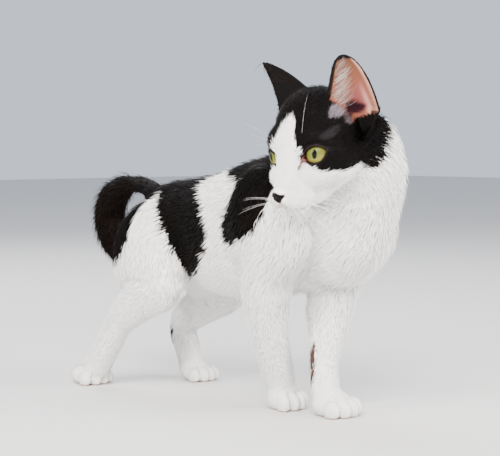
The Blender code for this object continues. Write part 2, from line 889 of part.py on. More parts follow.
def build():
    forms = buildForms()
    body = makeBody(forms)
    for name, cuts in legCuts.items():
        makePaw(name, forms)
        _, centre, direction, halfWidth = cuts[0]
        dropByBlock(body, (centre, direction, halfWidth))
        for label, centre, direction, halfWidth in cuts[1:]:
            partByBlock(body, name + "_" + label, (centre, direction, halfWidth))
    for name, centre, direction, halfWidth, depth in tailCuts:
        partByBlock(body, name, (centre, direction, halfWidth), depth)
    head = makeHead(forms)
    headSkin = grownCopy(head, "headSkin", gap)
    for name, plan in earPlans.items():
        makeEar(name, plan, headSkin)
    removeObject(headSkin)
    carveFace(head, forms)
    moveTo(head, parts, "head")
    for name, side in (("eye_left", 1), ("eye_right", -1)):
        eyeBall(name, side, eyeRadius, parts, eyeSegments)
    centre, direction, halfWidth, depth = neckCut
    neck = partByBlock(body, "neck", (centre, direction, halfWidth), depth)
    for rest in (neck, body):
        dropOnHead(rest, headRoom)
    for name, (centre, radii) in list(thighBalls.items()) + list(armBalls.items()):
        label = "_thigh" if name in thighBalls else "_upper"
        partOff(body, name + label, ballCutter(centre, radii), ballCutter(centre, radii, gap))
    moveTo(body, parts, "torso")
    paint()


for old in list(bpy.data.objects):
    bpy.data.objects.remove(old, do_unlink=True)
parts = collectionFor("shorthair_cat")
cutters = collectionFor("cutters", hidden=True)
build()
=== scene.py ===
import math

import bmesh
import bpy
import numpy as np
from mathutils import Matrix, Vector


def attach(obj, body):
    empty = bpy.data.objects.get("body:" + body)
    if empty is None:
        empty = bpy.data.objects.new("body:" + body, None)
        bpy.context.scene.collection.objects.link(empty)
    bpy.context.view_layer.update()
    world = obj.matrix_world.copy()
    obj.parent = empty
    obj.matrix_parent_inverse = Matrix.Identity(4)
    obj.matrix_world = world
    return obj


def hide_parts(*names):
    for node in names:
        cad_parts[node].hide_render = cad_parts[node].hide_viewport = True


# A young black and white shorthair cat, standing, its head turned to its right.
# All shapes are worked out in the cat's own frame: it faces -Y, its left side is +X.

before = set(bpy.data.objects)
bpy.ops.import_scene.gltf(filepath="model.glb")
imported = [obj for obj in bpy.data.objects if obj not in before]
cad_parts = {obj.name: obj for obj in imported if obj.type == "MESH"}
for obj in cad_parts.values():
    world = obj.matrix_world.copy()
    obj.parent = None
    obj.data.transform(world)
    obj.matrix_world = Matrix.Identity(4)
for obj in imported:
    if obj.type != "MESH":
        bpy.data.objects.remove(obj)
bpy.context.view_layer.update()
print("frame loaded")

mm = 0.001
standShift = np.array([10.6, 10.3, 0.0]) * mm  # puts the middle of the box over the origin
dice = np.random.default_rng(11)


# ---- camera, floor and light

cameraPlan = {
    "place": (-0.833, -0.958, 0.21),
    "turn": -42.0,      # degrees about the vertical
    "dip": 3.25,        # degrees below level
    "lens": 111.5,
}

lightPlans = {
    "keyLight": {"place": (-1.25, -0.95, 1.35), "size": 1.3, "power": 118, "colour": (1.0, 0.95, 0.885)},
    "fillLight": {"place": (0.75, -1.5, 0.8), "size": 1.5, "power": 61, "colour": (1.0, 0.975, 0.95)},
    "eyeLight": {"place": (-1.19, 0.09, 0.42), "size": 0.11, "power": 10, "colour": (1.0, 1.0, 1.0)},
    "rimLight": {"place": (0.5, 1.2, 1.3), "size": 1.0, "power": 26, "colour": (1.0, 1.0, 1.0)},
}

floorPlan = {"half": 6.0, "colour": (0.62, 0.61, 0.60), "sky": (0.70, 0.76, 0.86), "skyPower": 1.15}


def makeCamera():
    plan = cameraPlan
    data = bpy.data.cameras.new("photoCamera")
    data.sensor_width = 36
    data.lens = plan["lens"]
    camera = bpy.data.objects.new("photoCamera", data)
    bpy.context.scene.collection.objects.link(camera)
    camera.location = Vector(plan["place"]) + Vector(standShift)
    camera.rotation_euler = (math.radians(90 - plan["dip"]), 0, math.radians(plan["turn"]))
    bpy.context.scene.camera = camera


def makeLights():
    middle = Vector((0, 0, 0.13))
    for name, plan in lightPlans.items():
        data = bpy.data.lights.new(name, "AREA")
        data.size = plan["size"]
        data.energy = plan["power"]
        data.color = plan["colour"]
        light = bpy.data.objects.new(name, data)
        bpy.context.scene.collection.objects.link(light)
        light.location = plan["place"]
        light.rotation_euler = (Vector(plan["place"]) - middle).to_track_quat("Z", "Y").to_euler()
    world = bpy.data.worlds.new("softSky")
    world.use_nodes = True
    world.node_tree.nodes["Background"].inputs["Color"].default_value = (*floorPlan["sky"], 1)
    world.node_tree.nodes["Background"].inputs["Strength"].default_value = floorPlan["skyPower"]
    bpy.context.scene.world = world


def makeFloor():
    half = floorPlan["half"]
    mesh = bpy.data.meshes.new("studioFloor")
    corners = [(-half, -half, 0), (half, -half, 0), (half, half, 0), (-half, half, 0)]
    mesh.from_pydata(corners, [], [(0, 1, 2, 3)])
    floor = bpy.data.objects.new("studioFloor", mesh)
    bpy.context.scene.collection.objects.link(floor)
    material = bpy.data.materials.new("studioFloor")
    material.use_nodes = True
    shader = material.node_tree.nodes["Principled BSDF"]
    shader.inputs["Base Color"].default_value = (*floorPlan["colour"], 1)
    shader.inputs["Roughness"].default_value = 0.9
    mesh.materials.append(material)


makeCamera()
makeLights()
makeFloor()
print("camera, lights and floor made")


# ---- the form of the cat, in mm: tubes and balls that blend into each other
# tube rows: centre x, y, z, then half widths to the side, to the front or top, and to the back

trunkRows = [
    (0, 99, 139, 13, 15, 17),
    (0, 90, 136, 22, 26.5, 33),
    (0, 72, 134, 33, 39, 40),
    (0, 45, 133, 36, 44, 43),
    (0, 15, 133, 38, 47, 47),
    (0, -20, 134, 41, 53, 52),
    (0, -50, 139, 42, 56, 55),
    (0, -80, 145, 41, 55.5, 55),
    (2, -106, 149, 39, 50, 50),
    (4, -128, 148, 32, 40, 40),
]
neckRows = [
    (0, -94, 156, 36, 36, 36),
    (6, -114, 166, 42, 42, 42),
    (12, -132, 177, 39.5, 39.5, 41.5),
    (10, -140, 190, 38, 38, 38),
    (-6, -143, 199, 31, 31, 31),
    (-22, -144, 201, 22, 22, 22),
]
tailRows = [
    (0, 84, 160, 12, 12, 12),
    (0, 98, 168.5, 8, 8, 8),
    (0, 114, 171.5, 8.8, 8.8, 8.8),
    (0, 132, 168.5, 11, 11, 11),
    (0, 147, 159, 14, 14, 14),
    (0, 154, 144, 14.5, 14.5, 14.5),
    (0, 150, 128, 14.5, 14.5, 14.5),
    (0, 141, 116, 13, 13, 13),
    (1, 132, 107, 9.5, 9.5, 9.5),
    (2, 124, 100, 5, 5, 5),
]
legRows = {
    "foreLeft": [
        (26, -108, 158, 17, 22, 26),
        (36, -132, 138, 17, 20, 24),
        (31, -114, 116, 16, 19, 22),
        (24, -105, 98, 18, 22, 22),
        (17, -106.5, 76, 16.5, 19, 19.5),
        (8, -112, 54, 13, 13.5, 14),
        (1, -117, 36, 10.3, 10.5, 11),
        (-2, -121, 20, 11, 11, 11),
    ],
    "foreRight": [
        (-27, -98, 158, 17, 22, 26),
        (-36, -118, 138, 17, 20, 24),
        (-35, -98, 116, 16, 20, 23),
        (-32.5, -89, 98, 17, 21, 23),
        (-29, -85.5, 78, 15.5, 18, 18.5),
        (-22.5, -83, 52, 13, 15, 15),
        (-16, -81.5, 34, 12, 13.5, 13),
        (-11, -81, 20, 11, 12, 12),
    ],
    "hindLeft": [
        (24, 62, 136, 17, 24, 20),
        (34, 48, 110, 17, 27, 27),
        (37, 34, 85, 14, 20, 22),
        (37, 62, 70, 12.5, 18, 18),
        (36, 88, 56, 10.5, 16, 16),
        (36, 95, 44, 10, 15.5, 15),
        (36, 90, 29, 10, 13.5, 13),
        (36, 84, 14, 10.5, 12.5, 12),
    ],
    "hindRight": [
        (-24, 62, 136, 17, 24, 20),
        (-36, 50, 114, 18, 28, 28),
        (-42, 27, 93, 14, 21.5, 22.5),
        (-43.5, 48.5, 79.5, 13, 18, 19.5),
        (-43.5, 71, 66.5, 11.5, 15.5, 16.5),
        (-43.5, 84.5, 54.5, 10.5, 13, 13),
        (-45, 97.5, 35.5, 10.5, 12, 12),
        (-45, 113, 16, 11, 12, 12),
    ],
}
# muscle masses: centre, half widths, and how widely each blends in
muscleBalls = [
    ((10.5, -126.5, 142), (36, 40, 44), 14),
    ((13, -131, 159), (33.5, 35.5, 27), 14),
    ((-31, 62, 113), (19, 40, 41), 14),
    ((29, 62, 114), (19, 40, 40), 14),
    ((-34, -84, 152), (16, 30, 40), 14),
    ((33, -92, 152), (16, 30, 40), 14),
    ((20, -142, 208), (22, 22, 24), 12),
]
# paws: middle of the sole, turn of the toes in degrees, width, length and height
pawPlans = {
    "foreLeft": ((-1, -130), 4, 33, 39, 20),
    "foreRight": ((-8, -83), 8, 29, 33, 20),
    "hindLeft": ((36, 75), 0, 28, 33, 18),
    "hindRight": ((-45, 124.5), 4, 31, 36, 18),
}

headPlan = {"place": np.array([-51.0, -144.3, 199.0]), "yaw": -84.0, "pitch": 22.0, "roll": -3.5}

# the skull, along the head's own axes from the middle between the eyes: left, back and up
skullBalls = [
    ((0, 27, 12), (30.5, 32, 30), 8),
    ((0, 5, 6), (18.5, 17, 18.5), 8),
    ((0, -12, -17), (13.5, 17, 13), 7),
    ((0, 2, -26), (17.5, 25, 11.5), 7),
    ((0, -18.5, -33), (8, 9, 5.8), 3),
    ((0, -31.6, -18.2), (8.8, 4.8, 6.2), 1.4),
    ((10, -25, -24), (10.2, 11.8, 8.2), 3.5),
    ((-8, -24, -22.8), (8.6, 10.2, 8), 3.5),
]
pairedSkullBalls = [
    ((18, 8, 2), (12.5, 13, 12.5), 6),
    ((15.6, 3.5, 11.5), (11.4, 12, 11), 6),
    ((16.5, -6.5, -13), (9.5, 11, 10.5), 6),
    ((18.5, 15, -13), (14.5, 20, 16), 8),
]
bridgeRows = [
    (0, -9.5, 5.5, 11.5, 8, 8),
    (0, -20, -7.5, 9, 6.6, 6.6),
    (0, -31, -15.6, 5.8, 5.4, 5.4),
]
eyePlan = {
    "centre": (17.3, 1.0, 0.5),
    "radius": 9.8,
    "lid": 1.5,
    "out": 22.0,        # degrees the eye looks outwards
    "up": 14.0,
    "halfWidth": 10.2,  # from the middle to the inner corner
    "outerHalf": 8.4,
    "above": 5.3,
    "below": 6.4,
    "slant": 9.0,
    "farSquint": 1.3,   # how much narrower the far eye's opening is
    "floor": 2.2,       # how far the skin drops below the ball's surface
}
# ears: half width, how fast they narrow, the way the cup faces in degrees, and how far they lean
earPlans = {
    "left": {"side": 1, "root": np.array([26, 36.3, 19]), "tip": np.array([38, 31.6, 62]),
             "width": 20.5, "narrowing": 0.5, "facing": 44, "lean": 2},
    "right": {"side": -1, "root": np.array([-26, 46, 19.5]), "tip": np.array([-41, 33.5, 63.5]),
              "width": 22, "narrowing": 0.88, "facing": 84, "lean": 3},
}


def unit(vectors):
    vectors = np.asarray(vectors, float)
    return vectors / np.maximum(np.linalg.norm(vectors, axis=-1, keepdims=True), 1e-12)


def ramp(values, start, end):
    t = np.clip((values - start) / (end - start), 0, 1)
    return t * t * (3 - 2 * t)


def smoothRows(rows, steps=4):
    rows = np.array(rows, float)
    padded = np.vstack([2 * rows[0] - rows[1], rows, 2 * rows[-1] - rows[-2]])
    result = []
    for before, start, end, after in zip(padded, padded[1:], padded[2:], padded[3:]):
        for t in np.arange(steps) / steps:
            curve = 2 * start + (end - before) * t
            curve += (2 * before - 5 * start + 4 * end - after) * t ** 2
            curve += (3 * start - before - 3 * end + after) * t ** 3
            result.append(curve / 2)
    result.append(rows[-1])
    return np.array(result)


def makeTube(rows, sideways=(1, 0, 0), blend=10.0):
    samples = smoothRows(rows) * mm
    centres = samples[:, :3]
    along = unit(np.gradient(centres, axis=0))
    side = np.array(sideways, float) - along * (along @ np.array(sideways, float))[:, None]
    side = unit(side)
    return {
        "centres": centres,
        "along": along,
        "side": side,
        "front": np.cross(along, side),
        "radii": samples[:, 3:],
        "blend": blend * mm,
    }


def makeBall(centre, radii, blend=10.0, turn=None):
    return {
        "centre": np.array(centre, float) * mm,
        "radii": np.array(radii, float) * mm,
        "turn": np.eye(3) if turn is None else turn,
        "blend": blend * mm,
    }


def scaledDistance(offsets, radii):
    near = np.linalg.norm(offsets / radii, axis=1)
    slope = np.linalg.norm(offsets / radii ** 2, axis=1)
    return near * (near - 1) / np.maximum(slope, 1e-6)


def ballDistance(points, ball):
    return scaledDistance((points - ball["centre"]) @ ball["turn"], ball["radii"])


farValue = 25 * mm


def nearOnly(points, low, high, distance):
    result = np.full(len(points), farValue)
    near = np.all((points > low - farValue) & (points < high + farValue), axis=1)
    if near.any():
        result[near] = distance(points[near])
    return result


def placeOnTube(points, tube):
    centres = tube["centres"]
    nearest = np.full(len(points), 9.0)
    place = np.zeros(len(points))
    for i in range(len(centres) - 1):
        run = centres[i + 1] - centres[i]
        t = np.clip((points - centres[i]) @ run / (run @ run), 0, 1)
        away = np.linalg.norm(points - centres[i] - t[:, None] * run, axis=1)
        closer = away < nearest
        nearest[closer] = away[closer]
        place[closer] = i + t[closer]
    low = np.minimum(place.astype(int), len(centres) - 2)
    return low, (place - low)[:, None]


def tubeDistance(points, tube):
    reach = tube["radii"].max()
    low = tube["centres"].min(axis=0) - reach
    high = tube["centres"].max(axis=0) + reach
    return nearOnly(points, low, high, lambda near: nearTubeDistance(near, tube))


def nearTubeDistance(points, tube):
    low, t = placeOnTube(points, tube)

    def between(values):
        return values[low] * (1 - t) + values[low + 1] * t

    side = unit(between(tube["side"]))
    front = unit(between(tube["front"]))
    offset = points - between(tube["centres"])
    radii = between(tube["radii"])
    acrossFront = np.sum(offset * front, axis=1)
    acrossSide = np.sum(offset * side, axis=1)
    onward = np.sum(offset * np.cross(side, front), axis=1)
    depth = np.where(acrossFront > 0, radii[:, 1], radii[:, 2])
    cap = np.minimum(radii[:, 0], radii[:, 1])
    return scaledDistance(
        np.column_stack([acrossSide, acrossFront, onward]),
        np.column_stack([radii[:, 0], depth, cap]),
    )


def blended(first, second, width):
    nearness = np.maximum(width - np.abs(first - second), 0) / width
    return np.minimum(first, second) - nearness ** 2 * width / 4


def turnAbout(axis, degrees):
    return np.array(Matrix.Rotation(math.radians(degrees), 3, axis))


headAxes = turnAbout("Z", headPlan["yaw"]) @ turnAbout("X", headPlan["pitch"])
headAxes = headAxes @ turnAbout("Y", headPlan["roll"])


def toHead(points):
    return (points - headPlan["place"] * mm) @ headAxes


def fromHead(points):
    # mm along the head's axes, to metres in the cat's frame
    return headPlan["place"] * mm + (np.asarray(points, float) * mm) @ headAxes.T


def pawShapes(plan):
    (x, y), turn, width, length, height = plan
    heading = turnAbout("Z", turn)

    def placed(side, forward, up):
        across = heading @ np.array([side, -forward, 0.0])
        return (x + across[0], y + across[1], up)

    pad = makeBall(placed(0, -0.06 * length, 0.42 * height),
                   (0.47 * width, 0.43 * length, 0.56 * height), 6, heading)
    toes = []
    for i in range(4):
        side = (i - 1.5) * 0.255 * width
        forward = length * (0.30 if i in (1, 2) else 0.20)
        fan = turnAbout("Z", turn + (i - 1.5) * 7)
        toes.append(makeBall(placed(side, forward, 0.31 * height),
                             (0.158 * width, 0.215 * length, 0.40 * height), 1.4, fan))
    return pad, toes


def buildForms():
    forms = {
        "trunk": makeTube(trunkRows),
        "neck": makeTube(neckRows, (0, 0, 1), 12),
        "tail": makeTube(tailRows, blend=6),
        "muscles": [makeBall(*row) for row in muscleBalls],
        "legs": {},
        "skull": [makeBall(*row) for row in skullBalls],
        "bridge": makeTube(bridgeRows, blend=5),
    }
    for name, rows in legRows.items():
        pad, toes = pawShapes(pawPlans[name])
        forms["legs"][name] = {"tube": makeTube(rows), "pad": pad, "toes": toes}
    for centre, radii, blend in pairedSkullBalls:
        for side in (1, -1):
            forms["skull"].append(makeBall((side * centre[0], centre[1], centre[2]), radii, blend))
    for side in (1, -1):
        lid = eyePlan["radius"] + eyePlan["lid"]
        x, y, z = eyePlan["centre"]
        forms["skull"].append(makeBall((side * x, y, z), (lid, lid, lid), 3))
    return forms


forms = buildForms()


def skullDistance(points):
    result = ballDistance(points, forms["skull"][0])
    for ball in forms["skull"][1:3]:
        result = blended(result, ballDistance(points, ball), ball["blend"])
    result = blended(result, tubeDistance(points, forms["bridge"]), forms["bridge"]["blend"])
    for ball in forms["skull"][3:]:
        result = blended(result, ballDistance(points, ball), ball["blend"])
    return result


def headDistance(points):
    low = (headPlan["place"] - 60) * mm
    high = (headPlan["place"] + 60) * mm
    return nearOnly(points, low, high, lambda near: skullDistance(toHead(near)))


def legDistance(points, leg):
    low = leg["tube"]["centres"].min(axis=0) - 30 * mm
    high = leg["tube"]["centres"].max(axis=0) + 30 * mm

    def nearLeg(near):
        result = tubeDistance(near, leg["tube"])
        result = blended(result, ballDistance(near, leg["pad"]), leg["pad"]["blend"])
        for toe in leg["toes"]:
            result = blended(result, ballDistance(near, toe), toe["blend"])
        return result

    return nearOnly(points, low, high, nearLeg)


def catDistance(points):
    # to the tips of the coat
    result = tubeDistance(points, forms["trunk"])
    for ball in forms["muscles"]:
        result = blended(result, ballDistance(points, ball), ball["blend"])
    result = blended(result, tubeDistance(points, forms["neck"]), forms["neck"]["blend"])
    rise = np.clip((points[:, 2] - 55 * mm) / (40 * mm), 0, 1)
    for leg in forms["legs"].values():
        result = blended(result, legDistance(points, leg), (1 + 11 * rise) * mm)
    result = blended(result, tubeDistance(points, forms["tail"]), forms["tail"]["blend"])
    return blended(result, headDistance(points), 8 * mm)


# ---- how deep the coat is

coatPlan = {
    "body": 2.6,
    "chest": 3.8,
    "leg": 1.5,
    "foot": 0.6,
    "tail": 5.2,
    "crown": 1.5,
    "face": 0.9,
    "lids": 0.3,
    "nose": 0.1,
}


def eyeFrame(side):
    # columns: towards the outer corner, up, and out along the eye's axis
    out = math.radians(eyePlan["out"])
    up = math.radians(eyePlan["up"])
    axis = np.array([side * math.sin(out) * math.cos(up), -math.cos(out) * math.cos(up), math.sin(up)])
    outward = -side * unit(np.cross(axis, [0, 0, 1]))
    upward = unit(np.array([0, 0, 1]) - axis * axis[2])
    return np.column_stack([outward, upward, axis])


def eyeCentre(side):
    x, y, z = eyePlan["centre"]
    return np.array([side * x, y, z])


def inEye(headPoints, side):
    # mm across, up and out from the middle of the eyeball, turned level with the lids
    local = (headPoints - eyeCentre(side)) @ eyeFrame(side)
    slant = math.radians(eyePlan["slant"])
    across = local[:, 0] * math.cos(slant) + local[:, 1] * math.sin(slant)
    up = -local[:, 0] * math.sin(slant) + local[:, 1] * math.cos(slant)
    if side < 0:
        up = up * eyePlan["farSquint"]
    return np.column_stack([across, up, local[:, 2]])


def lidDistance(local):
    # mm from the edge of the lids, below zero inside the opening
    half = np.where(local[:, 0] > 0, eyePlan["outerHalf"], eyePlan["halfWidth"])
    across = local[:, 0] / half
    reach = np.where(local[:, 1] > 0, eyePlan["above"], eyePlan["below"])
    m = np.clip(1 - across ** 2, 0, 1)
    inside = np.abs(local[:, 1]) - reach * m ** 0.8
    beyond = np.hypot(np.maximum(np.abs(local[:, 0]) - half, 0), local[:, 1])
    return np.where(np.abs(across) < 1, inside, beyond)


headMiddle = np.array([0, 12, 0])
muzzlePlan = {"middle": np.array([0, -12, -12]), "whole": 29, "none": 36}


def muzzleShare(head):
    # 1 on the muzzle and 0 away from it, so that its hair stays as short as the face's
    away = np.linalg.norm(head - muzzlePlan["middle"], axis=1)
    return ramp(-away, -muzzlePlan["none"], -muzzlePlan["whole"])


def coatDepth(points):
    head = toHead(points) / mm
    _, y, z = (points / mm).T
    near = ramp(-np.linalg.norm(head - headMiddle, axis=1), -56, -38)
    near = np.maximum(near, muzzleShare(head))
    nose = ramp(-np.linalg.norm(head - np.array([0, -35.5, -19.5]), axis=1), -9, -5)
    layers = [
        ("chest", ramp(-y, 80, 130) * ramp(z, 80, 120)),
        ("leg", ramp(-z, -100, -70)),
        ("foot", ramp(-z, -42, -20)),
        ("tail", ramp(y, 104, 122) * ramp(z, 70, 90)),
        ("crown", near),
        ("face", near * ramp(-head[:, 1], -22, 0)),
        ("nose", nose),
    ]
    for side in (1, -1):
        local = inEye(head, side)
        layers.append(("lids", ramp(-lidDistance(local), -4.5, -1) * (local[:, 2] > 0)))
    depth = np.full(len(points), coatPlan["body"])
    for name, share in layers:
        depth += (coatPlan[name] - depth) * share
    return depth * mm


# ---- skin

skinPlan = {
    "voxel": 1.5 * mm,
    "relax": 2,
    "kept": 0.54,       # share of the faces left after those under the coat are joined
}


def addBall(bm, ball, onHead=False, fineness=3):
    centre = ball["centre"]
    turn = ball["turn"]
    if onHead:
        centre = headPlan["place"] * mm + headAxes @ centre
        turn = headAxes @ turn
    place = Matrix.Translation(centre) @ Matrix(turn.tolist()).to_4x4()
    place = place @ Matrix.Diagonal((*ball["radii"], 1))
    bmesh.ops.create_icosphere(bm, subdivisions=fineness, radius=1, matrix=place)


def addTube(bm, tube, onHead=False):
    for i, centre in enumerate(tube["centres"]):
        across, ahead = tube["side"][i], tube["front"][i]
        turn = np.column_stack([across, ahead, np.cross(across, ahead)])
        side, front, back = tube["radii"][i]
        depth = (front + back) / 2
        middle = centre + ahead * (front - back) / 2
        addBall(bm, {"centre": middle, "radii": (side, depth, min(side, depth)), "turn": turn}, onHead)


def objectFrom(name, mesh):
    made = bpy.data.objects.new(name, mesh)
    bpy.context.scene.collection.objects.link(made)
    return made


def applyModifiers(target):
    graph = bpy.context.evaluated_depsgraph_get()
    mesh = bpy.data.meshes.new_from_object(target.evaluated_get(graph))
    target.modifiers.clear()
    target.data = mesh
    return mesh


def pointsOf(mesh):
    points = np.empty(len(mesh.vertices) * 3)
    mesh.vertices.foreach_get("co", points)
    return points.reshape(-1, 3)


def normalsOf(mesh):
    normals = np.empty(len(mesh.vertices) * 3, np.float32)
    mesh.vertex_normals.foreach_get("vector", normals)
    return normals.reshape(-1, 3).astype(float)


def setPoints(mesh, points):
    mesh.vertices.foreach_set("co", points.ravel())
    mesh.update()


def slopeOf(points, field, value, step=0.2 * mm):
    slope = np.empty_like(points)
    for axis in range(3):
        shifted = points.copy()
        shifted[:, axis] += step
        slope[:, axis] = (field(shifted) - value) / step
    return slope


def toSurface(points, field, rounds=3):
    points = points.copy()
    for _ in range(rounds):
        value = field(points)
        slope = slopeOf(points, field, value)
        steep = np.maximum(np.sum(slope ** 2, axis=1), 0.25)
        move = slope * (value / steep)[:, None]
        length = np.linalg.norm(move, axis=1, keepdims=True)
        points -= move * np.minimum(1, 4 * mm / np.maximum(length, 1e-9))
    return points


def skinField(points):
    return catDistance(points) + coatDepth(points)


def roughBody():
    bm = bmesh.new()
    addTube(bm, forms["trunk"])
    addTube(bm, forms["neck"])
    addTube(bm, forms["tail"])
    for ball in forms["muscles"]:
        addBall(bm, ball)
    for leg in forms["legs"].values():
        addTube(bm, leg["tube"])
        addBall(bm, leg["pad"])
        for toe in leg["toes"]:
            addBall(bm, toe)
    for ball in forms["skull"]:
        addBall(bm, ball, True)
    addTube(bm, forms["bridge"], True)
    mesh = bpy.data.meshes.new("skin")
    bm.to_mesh(mesh)
    bm.free()
    body = objectFrom("skin", mesh)
    remesh = body.modifiers.new("remesh", "REMESH")
    remesh.mode = "VOXEL"
    remesh.voxel_size = skinPlan["voxel"]
    applyModifiers(body)
    return body


def relax(body, times, factor=0.5):
    smooth = body.modifiers.new("relax", "SMOOTH")
    smooth.factor = factor
    smooth.iterations = times
    applyModifiers(body)


def refine(body, wanted):
    # splits the faces where wanted(points) is true, and lays the new points on the form
    mesh = body.data
    inside = wanted(pointsOf(mesh))
    bm = bmesh.new()
    bm.from_mesh(mesh)
    bm.verts.ensure_lookup_table()
    edges = [e for e in bm.edges if inside[e.verts[0].index] and inside[e.verts[1].index]]
    bmesh.ops.subdivide_edges(bm, edges=edges, cuts=1, use_grid_fill=True)
    bmesh.ops.triangulate(bm, faces=[f for f in bm.faces if len(f.verts) > 4])
    bm.to_mesh(mesh)
    bm.free()
    points = pointsOf(mesh)
    inside = wanted(points)
    points[inside] = toSurface(points[inside], skinField, 2)
    setPoints(mesh, points)


def faceWanted(points):
    head = toHead(points) / mm
    return (np.linalg.norm(head - np.array([0, -6, -8]), axis=1) < 40) & (head[:, 1] < 12)


def detailWanted(points):
    head = toHead(points) / mm
    near = np.linalg.norm(head - np.array([0, -33, -23]), axis=1) < 16
    for side in (1, -1):
        local = inEye(head, side)
        near |= (np.abs(lidDistance(local)) < 4.5) & (local[:, 2] > 0) & (np.abs(local[:, 0]) < 15)
    return near


def pawWanted(points):
    return points[:, 2] < 24 * mm


mouthPlan = {
    "line": [(0, -34, -23.5), (0, -33, -26.4), (4, -33.8, -28.2), (8.2, -34.6, -28.7),
             (12.2, -33.8, -29.3), (15, -30, -30.6), (18.5, -20, -30)],
    "depth": 1.1,
    "width": 0.9,
    "lipReach": 2.0,    # mm from the line to where the hair has half lost the lip's colour
    "lipShare": 0.62,
    "lowerShare": 0.5,
}
nosePlan = {
    "nostril": (3.8, -35.6, -18),
    "pit": 1.8,
    "shift": 0.7,       # how far the leather sits towards the far side
    "tilt": 0.3,
    "behind": 25.0,     # the leather ends this far before the middle between the eyes
}


def lineDistance(points, line):
    # mm to a line of points
    result = np.full(len(points), 99.0)
    for start, end in zip(line, line[1:]):
        run = end - start
        t = np.clip((points - start) @ run / (run @ run), 0, 1)
        result = np.minimum(result, np.linalg.norm(points - start - t[:, None] * run, axis=1))
    return result


mouthLine = toHead(toSurface(fromHead(smoothRows(mouthPlan["line"], 3)), skinField, 6)) / mm


def mouthDistance(head):
    both = np.column_stack([np.abs(head[:, 0]), head[:, 1], head[:, 2]])
    return lineDistance(both, mouthLine)


def carveFace(body):
    mesh = body.data
    points = pointsOf(mesh)
    head = toHead(points) / mm
    normals = normalsOf(mesh) @ headAxes
    for side in (1, -1):
        local = inEye(head, side)
        near = (local[:, 2] > 0) & (np.hypot(local[:, 0], local[:, 1]) < 17)
        edge = lidDistance(local[near])
        opened = ramp(-edge, -0.1, 0.9)
        aside = np.sum(local[near, :2] ** 2, axis=1)
        floorDepth = np.sqrt(np.maximum((eyePlan["radius"] - eyePlan["floor"]) ** 2 - aside, 0.2))
        push = opened * np.maximum(local[near, 2] - floorDepth, 0)
        rim = np.exp(-((edge - 0.7) / 0.7) ** 2) * 0.35
        crease = np.exp(-((edge - 3.6) / 0.9) ** 2) * 0.5 * ramp(local[near, 1], 0, 4)
        axis = eyeFrame(side)[:, 2]
        head[near] += axis * (rim - crease - push)[:, None]
    away = mouthDistance(head)
    head -= normals * (mouthPlan["depth"] * np.exp(-(away / mouthPlan["width"]) ** 2))[:, None]
    x, y, z = nosePlan["nostril"]
    for side in (1, -1):
        offset = (head - np.array([side * x, y, z])) / np.array([1.7, 3.0, 1.2])
        # the slot that runs back and out from each nostril
        slot = (head - np.array([side * (x + 1.9), y + 1.6, z - 0.7])) / np.array([1.8, 2.4, 0.6])
        pit = np.exp(-np.sum(offset ** 2, axis=1)) + 0.6 * np.exp(-np.sum(slot ** 2, axis=1))
        head += np.array([0, 1, 0.1]) * (nosePlan["pit"] * np.minimum(pit, 1))[:, None]
    groove = np.exp(-(head[:, 0] / 0.6) ** 2) * ramp(-head[:, 1], 32.5, 34) * ramp(-head[:, 2], 17, 20)
    head += np.array([0, 1, 0]) * (0.5 * groove)[:, None]
    setPoints(mesh, fromHead(head))


def earAxes(plan):
    rise = unit(plan["tip"] - plan["root"])
    facing = math.radians(plan["facing"])
    opening = np.array([plan["side"] * math.sin(facing), -math.cos(facing), 0.12])
    opening = unit(opening - rise * (opening @ rise))
    across = np.cross(rise, opening) * plan["side"]
    return rise, opening, across


def earPoint(plan, u, v):
    # u runs from the root to the tip and v from the front edge to the back edge, -1 to 1
    rise, opening, across = earAxes(plan)
    length = np.linalg.norm(plan["tip"] - plan["root"])
    u, v = np.broadcast_arrays(np.asarray(u, float), np.asarray(v, float))
    above = np.clip(1 - u, 0, 1) ** plan["narrowing"]
    half = plan["width"] * np.where(u > 0, above, 1 + 1.1 * u)
    wrap = np.radians(95 - 50 * u)
    radius = half / np.sin(np.minimum(wrap, math.pi / 2))
    middle = plan["root"] + rise * (length * u)[..., None]
    middle = middle + across * (plan["lean"] * np.sin(math.pi * np.maximum(u, 0)))[..., None]
    turn = v * wrap
    point = middle + across * (radius * np.sin(turn))[..., None]
    return point + opening * (radius * 0.72 * (1 - np.cos(turn) - 0.45))[..., None]


